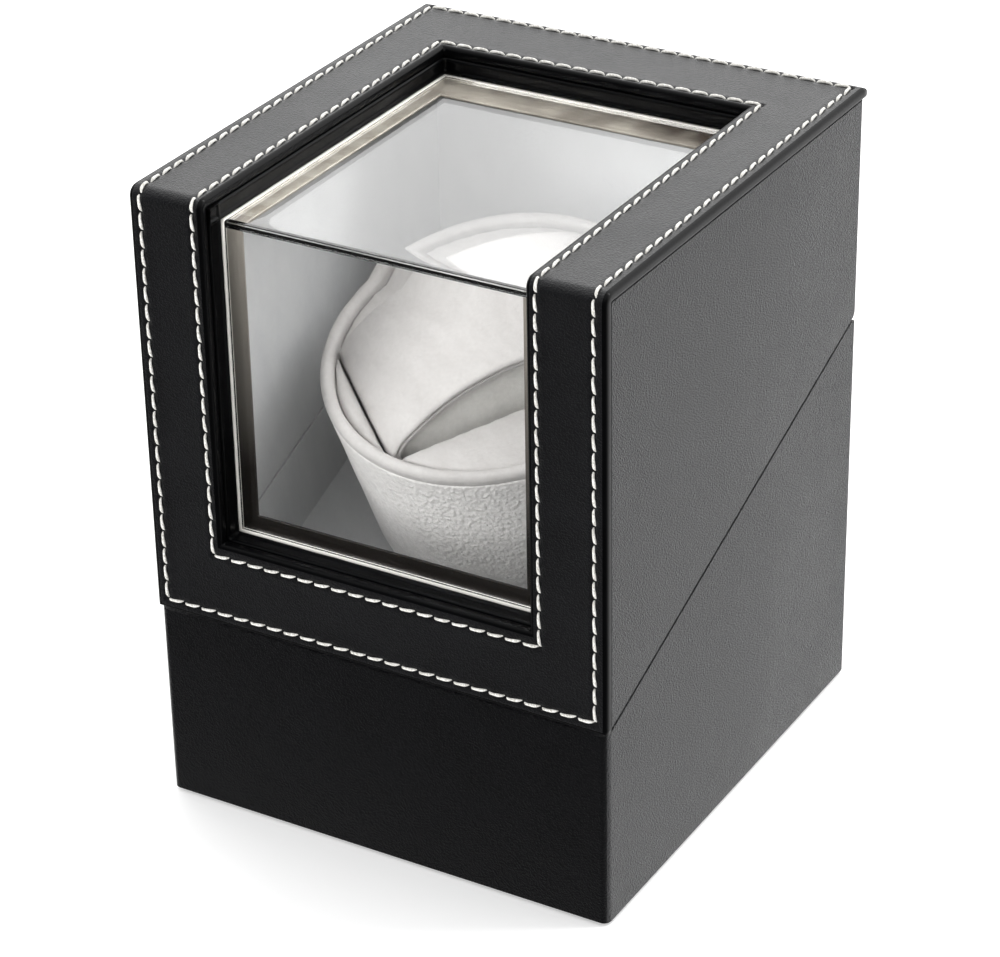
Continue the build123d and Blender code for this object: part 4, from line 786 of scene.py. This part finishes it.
def turned(name, outline, material, slot, soft, seed, *nodes):
    """A soft skin turned about the cup's axis, with a little unevenness."""
    line = refined(rounded(outline), 1.6)
    angle = np.arange(CUP_STEPS) * tau / CUP_STEPS
    level, around = np.meshgrid(line[:, 1], angle, indexing="ij")
    radius = np.repeat(line[:, :1], CUP_STEPS, axis=1)
    flat = cup_places(radius, level, around).reshape(-1, 3)
    uneven = lump(flat, 6.0, seed).reshape(radius.shape) * soft
    points = cup_places(radius - abs(soft) * 0.4 + uneven, level, around).reshape(-1, 3)
    faces = []
    for i in range(len(line) - 1):
        for j in range(CUP_STEPS):
            following = (j + 1) % CUP_STEPS
            row = i * CUP_STEPS
            faces.append((row + j, row + following, row + CUP_STEPS + following, row + CUP_STEPS + j))
    made = piece(name, points, faces, "rotor", material)
    drop_loose(made)
    stand_for(made, slot, *nodes)
    return made


def wall(level, inset=0.0):
    """A point of the cup's side: radius and level."""
    return CUP_RADIUS + CUP_TAPER * level - inset, level


def cup_skins():
    """The grained leather outside the cup, and the velvet over its rim and inside."""
    floor = -CUP_DEPTH
    leather = [
        (*wall(-CUP_BAND + 0.5, 0.9), 0), (*wall(-CUP_BAND - 0.02, 0.5), 0.2),
        (*wall(-CUP_BAND - 0.45, 0.03), 0.4), (*wall(floor + 0.02, 0.02), 8.0), (24.2, floor + 0.02, 0),
    ]
    turned("cup_leather", leather, CUP_LEATHER, "cream_leather", 0.10, 5, "cup_cover")
    inset = 3.3
    velvet = [
        (*wall(-CUP_BAND - 0.12, 0.85), 0), (*wall(-CUP_BAND - 0.1, 0.0), 0.55),
        (*wall(-0.02, 0.02), 1.6), (*wall(-0.02, inset), 1.6),
        (*wall(floor + inset, inset), 4.6), (3.2, floor + inset, 0),
    ]
    turned("cup_velvet", velvet, SUEDE, "cream_suede", 0.10, 6, "cup_lining")


def soft_insert():
    """The padded insert: a cloth skin blown up inside its own outline."""
    source = NODES["cup_insert"].data
    work = bmesh.new()
    work.from_mesh(source)
    bmesh.ops.remove_doubles(work, verts=work.verts[:], dist=0.002 * MM)
    mesh = bpy.data.meshes.new("cup_padding")
    work.to_mesh(mesh)
    work.free()
    made = bpy.data.objects.new("cup_padding", mesh)
    bpy.context.scene.collection.objects.link(made)
    remesh = made.modifiers.new("even", "REMESH")
    remesh.mode = "VOXEL"
    remesh.voxel_size = 1.3 * MM
    apply_modifiers(made)
    draw_in(made, 0.45)
    swell(made, pressure=3.0, cap=0.75, smooth=3)
    subdivide(made)
    made.data.polygons.foreach_set("use_smooth", [True] * len(made.data.polygons))
    made.data.materials.clear()
    made.data.materials.append(SUEDE)
    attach(made, "rotor")
    stand_for(made, "cream_suede", "cup_insert")
    return made


def end_pads():
    """The padding at the two ends of the pillow's slot, thickest in the middle."""
    inside, reach, top, low = 35.75, 40.35, -1.6, -34.0
    for number, side in enumerate((-1, 1)):
        rings = []
        half = (reach ** 2 - (inside + 0.35) ** 2) ** 0.5
        for t in half * np.sin(np.linspace(-pi / 2, pi / 2, 41)):
            outside = (reach ** 2 - t ** 2) ** 0.5
            ease = min(1.9, (outside - inside) * 0.48)
            drop = top - 0.4 * (t / half) ** 2
            outline = refined(rounded([
                (inside, low, 0), (inside, drop, ease), (outside, drop, ease), (outside, low, 0),
            ]), 2.0)
            along = np.linspace(0, 1, 40)
            spans = np.concatenate([[0], np.cumsum(np.linalg.norm(np.diff(outline, axis=0), axis=1))])
            even = [np.interp(along * spans[-1], spans, outline[:, k]) for k in (0, 1)]
            rings.append(pillow_places(t, np.stack([side * even[0], even[1]], axis=-1)))
        points = np.concatenate(rings)
        points += (lump(points, 7.0, 31 + number) * 0.12)[:, None] * np.array(AXIS)
        made = piece(f"slot_pad_{number + 1}", points, ring_skin(rings, closed=True), "rotor", SUEDE)
        drop_loose(made)
        stand_for(made, "cream_suede")


def apply_modifiers(made):
    """Replaces an object's mesh by what its modifiers make of it."""
    graph = bpy.context.evaluated_depsgraph_get()
    mesh = bpy.data.meshes.new_from_object(made.evaluated_get(graph))
    made.modifiers.clear()
    made.data = mesh


def draw_in(made, amount):
    """Moves every point inwards along its normal, in millimetres."""
    work = bmesh.new()
    work.from_mesh(made.data)
    bmesh.ops.recalc_face_normals(work, faces=work.faces[:])
    work.normal_update()
    moves = [(v, v.normal * amount * MM) for v in work.verts]
    for vertex, move in moves:
        vertex.co -= move
    work.to_mesh(made.data)
    work.free()


def subdivide(made):
    finer = made.modifiers.new("finer", "SUBSURF")
    finer.levels = 1
    finer.render_levels = 1
    apply_modifiers(made)


def swell(made, pressure, cap, smooth):
    """Blows a closed skin up as cloth, holds each point's move to cap, then relaxes it."""
    start = np.array([v.co[:] for v in made.data.vertices])
    scene = bpy.context.scene
    cloth = made.modifiers.new("cloth", "CLOTH")
    cloth.settings.quality = 6
    cloth.settings.mass = 0.2
    cloth.settings.use_pressure = True
    cloth.settings.uniform_pressure_force = pressure
    cloth.settings.tension_stiffness = 20
    cloth.settings.compression_stiffness = 20
    cloth.settings.effector_weights.gravity = 0
    cloth.collision_settings.use_collision = False
    for number in range(1, 16):
        scene.frame_set(number)
    apply_modifiers(made)
    scene.frame_set(1)
    end = np.array([v.co[:] for v in made.data.vertices])
    move = end - start
    reach = np.linalg.norm(move, axis=1, keepdims=True)
    move *= np.minimum(1.0, cap * MM / np.maximum(reach, 1e-9))
    made.data.vertices.foreach_set("co", (start + move).ravel())
    relax = made.modifiers.new("relax", "SMOOTH")
    relax.factor = 0.5
    relax.iterations = smooth
    apply_modifiers(made)


# ---------------------------------------------------------------- pillow
PILLOW_CROWN = 12.4
SHOULDER = (31.0, 2.5)
FULL = (35.0, -8.0)
FOOT = (30.0, -36.0)
SLEEVE = 3.0


def pillow_outline(count=168):
    """The pillow's outline across the wrist, evenly spaced, with its outward normals."""
    rise = PILLOW_CROWN - SHOULDER[1]
    radius = (SHOULDER[0] ** 2 + rise ** 2) / (2 * rise)
    spread = np.arcsin(SHOULDER[0] / radius)
    arch = [(radius * sin(a), PILLOW_CROWN - radius + radius * cos(a))
            for a in np.linspace(0, spread, 24)]
    start, end = np.array(SHOULDER), np.array(FULL)
    reach = 0.62 * np.linalg.norm(end - start)
    leave = np.array([cos(spread), -sin(spread)]) * reach
    down = np.array([FOOT[0] - FULL[0], FOOT[1] - FULL[1]])
    arrive = down / np.linalg.norm(down) * reach
    turn = []
    for f in np.linspace(0, 1, 14)[1:]:
        weights = ((1 - f) ** 3, 3 * f * (1 - f) ** 2, 3 * f * f * (1 - f), f ** 3)
        stops = (start, start + leave * 0.7, end - arrive * 0.7, end)
        turn.append(tuple(sum(w * p for w, p in zip(weights, stops))))
    foot = rounded([(*FULL, 0), (*FOOT, 7.0), (0.0, FOOT[1], 0)])
    right = np.array(arch + turn + [tuple(p) for p in foot[1:]])
    left = right[::-1].copy()
    left[:, 0] *= -1
    loop = np.concatenate([right, left[1:-1]])
    closed = np.concatenate([loop, loop[:1]])
    lengths = np.concatenate([[0], np.cumsum(np.linalg.norm(np.diff(closed, axis=0), axis=1))])
    even = np.linspace(0, lengths[-1], count, endpoint=False)
    line = np.stack([np.interp(even, lengths, closed[:, k]) for k in (0, 1)], axis=-1)
    tangent = np.roll(line, -1, axis=0) - np.roll(line, 1, axis=0)
    normal = np.stack([-tangent[:, 1], tangent[:, 0]], axis=-1)
    normal /= np.linalg.norm(normal, axis=1, keepdims=True)
    return line, normal


def pillow_places(along, line):
    """Points from places along the wrist and an outline across it."""
    across = line[:, :1] * np.array(PILLOW_SIDE) + line[:, 1:] * np.array(AXIS)
    return np.array(CUP_RIM) + across + along * np.array(WRIST)


def ring_skin(rings, closed=False):
    """Faces between rings of equal length; closed also fills the two ends."""
    count = len(rings[0])
    faces = []
    for k in range(len(rings) - 1):
        for i in range(count):
            following = (i + 1) % count
            faces.append((k * count + i, k * count + following,
                          (k + 1) * count + following, (k + 1) * count + i))
    if closed:
        last = (len(rings) - 1) * count
        faces.append(tuple(range(count))[::-1])
        faces.append(tuple(last + i for i in range(count)))
    return faces


def pillow_sleeve():
    """The velvet sleeve bent round the pillow, with the fold in its rolled ends."""
    line, normal = pillow_outline()
    fold = [                        # distance in from the sleeve's end, and depth below its outside
        (5.0, 3.0), (2.0, 3.0), (0.9, 2.95), (0.35, 2.75), (0.10, 2.35), (0.10, 1.95), (0.32, 1.72),
        (0.75, 1.62), (0.30, 1.5), (0.08, 1.25), (0.12, 0.85), (0.45, 0.42), (1.05, 0.2), (2.2, 0.1),
    ]
    edge = [(PILLOW_HALF - back, inset) for back, inset in fold]
    reach = PILLOW_HALF - 3.8
    middle = [(t, 0.02 + 0.08 * (t / PILLOW_HALF) ** 2) for t in np.linspace(reach, -reach, 24)]
    section = edge + middle + [(-t, inset) for t, inset in edge[::-1]]
    rings = []
    for t, inset in section:
        ring = pillow_places(t, line - normal * (0.1 + inset))
        rings.append(ring)
    points = np.concatenate(rings)
    soft = lump(points, 9.0, 11) * 0.12
    outward = np.tile(normal, (len(rings), 1))
    lift = outward[:, :1] * np.array(PILLOW_SIDE) + outward[:, 1:] * np.array(AXIS)
    made = piece("pillow_cover", points + lift * soft[:, None], ring_skin(rings), "pillow", SUEDE)
    drop_loose(made)
    stand_for(made, "cream_suede", "pillow_sleeve")
    return made


def pillow_filling():
    """The foam inside the sleeve, whose two ends bulge a little."""
    line, normal = pillow_outline()
    core = line - normal * (SLEEVE + 0.3)
    centre = np.array([0.0, (PILLOW_CROWN + FOOT[1]) / 2])
    end = PILLOW_HALF - 1.6
    spread = (0.0, 0.15, 0.3, 0.45, 0.6, 0.72, 0.82, 0.9, 0.95, 0.98, 0.995)
    cap = [(end + 0.85 * (1 - f ** 3), f) for f in spread]
    cap[0] = (cap[0][0], 0.02)
    profile = cap + [(end - 0.5, 1.0), (0.0, 1.0)]
    profile += [(-t, f) for t, f in profile[-2::-1]]
    rings = [pillow_places(t, centre + (core - centre) * f) for t, f in profile]
    made = piece("pillow_foam", np.concatenate(rings), ring_skin(rings, closed=True), "pillow",
                 SLOT_MATERIALS["foam"])
    drop_loose(made)
    stand_for(made, "foam", "pillow_core")
    return made


face_skin()
face_stitching()
opening_leather()
wraps()
window_pane()
cup_skins()
soft_insert()
end_pads()
pillow_sleeve()
pillow_filling()


# ---------------------------------------------------------------- studio
CAMERA_PLACE = Vector((0.37915, -0.65159, 0.48409))
CAMERA_YAW = radians(30.439)
CAMERA_PITCH = radians(28.563)
CAMERA_ROLL = radians(-1.0495)
LENS = 124.23


def camera():
    """The camera, at the height, turn and distance of the photograph."""
    forward = Vector((
        -cos(CAMERA_PITCH) * sin(CAMERA_YAW), cos(CAMERA_PITCH) * cos(CAMERA_YAW), -sin(CAMERA_PITCH),
    ))
    level = Vector((cos(CAMERA_YAW), sin(CAMERA_YAW), 0.0))
    upright = level.cross(forward)
    right = cos(CAMERA_ROLL) * level + sin(CAMERA_ROLL) * upright
    up = -sin(CAMERA_ROLL) * level + cos(CAMERA_ROLL) * upright
    data = bpy.data.cameras.new("camera")
    data.lens = LENS
    data.sensor_width = 36.0
    data.sensor_fit = "HORIZONTAL"
    data.clip_start = 0.01
    made = bpy.data.objects.new("camera", data)
    turn = Matrix((right, up, -forward)).transposed().to_4x4()
    made.matrix_world = Matrix.Translation(CAMERA_PLACE) @ turn
    bpy.context.scene.collection.objects.link(made)
    bpy.context.scene.camera = made


def softbox(name, place, target, size, power):
    """A large soft lamp that faces the target."""
    data = bpy.data.lights.new(name, "AREA")
    data.shape = "RECTANGLE"
    data.size, data.size_y = size
    data.energy = power
    made = bpy.data.objects.new(name, data)
    made.location = place
    made.rotation_euler = (Vector(target) - Vector(place)).to_track_quat("-Z", "Y").to_euler()
    bpy.context.scene.collection.objects.link(made)
    return made


def sky():
    """A plain white world, bright behind and above the box and dark in front of it."""
    world = bpy.data.worlds.new("studio")
    world.use_nodes = True
    tree = world.node_tree
    place = tree.nodes.new("ShaderNodeTexCoord")
    split = tree.nodes.new("ShaderNodeSeparateXYZ")
    tree.links.new(place.outputs["Generated"], split.inputs[0])
    brighter = tree.nodes.new("ShaderNodeMath")
    brighter.operation = "MAXIMUM"
    for number, (axis, kind, spans) in enumerate((
        ("Y", "SMOOTHSTEP", (-0.55, 0.55, 0.07, 2.1)),
        ("Z", "LINEAR", (0.15, 0.9, 0.0, 0.95)),
    )):
        ramp = tree.nodes.new("ShaderNodeMapRange")
        ramp.interpolation_type = kind
        for index, value in enumerate(spans):
            ramp.inputs[index + 1].default_value = value
        tree.links.new(split.outputs[axis], ramp.inputs[0])
        tree.links.new(ramp.outputs[0], brighter.inputs[number])
    tree.nodes["Background"].inputs["Color"].default_value = (1.0, 1.0, 1.0, 1.0)
    tree.links.new(brighter.outputs[0], tree.nodes["Background"].inputs["Strength"])
    bpy.context.scene.world = world


def floor():
    """A white floor that shows in no reflection, so that gloss and glass see the world alone."""
    paint = Paint("floor", Roughness=0.85, Emission_Strength=0.25)
    paint.shader.inputs["Emission Color"].default_value = (1.0, 1.0, 1.0, 1.0)
    haze = paint.noise(6.0, 2.0)
    paint.finish(paint.blend(haze, (0.90, 0.90, 0.90), (0.92, 0.92, 0.92)))
    mesh = bpy.data.meshes.new("floor")
    reach = 6.0
    corners = [(-reach, -reach, 0), (reach, -reach, 0), (reach, reach, 0), (-reach, reach, 0)]
    mesh.from_pydata(corners, [], [(0, 1, 2, 3)])
    mesh.materials.append(paint.material)
    made = bpy.data.objects.new("floor", mesh)
    made.visible_glossy = False
    made.visible_transmission = False
    bpy.context.scene.collection.objects.link(made)


def studio():
    """The floor under soft light that comes mostly from behind and above."""
    sky()
    softbox("key", (0.9, 0.5, 1.3), (0.0, 0.0, 0.08), (0.22, 1.1), 8.0)
    fill = softbox("fill", (-0.45, -1.1, 0.55), (0.0, 0.0, 0.09), (0.8, 0.9), 9.0)
    fill.visible_glossy = False
    floor()
    bpy.context.scene.view_settings.view_transform = "Standard"


camera()
studio()
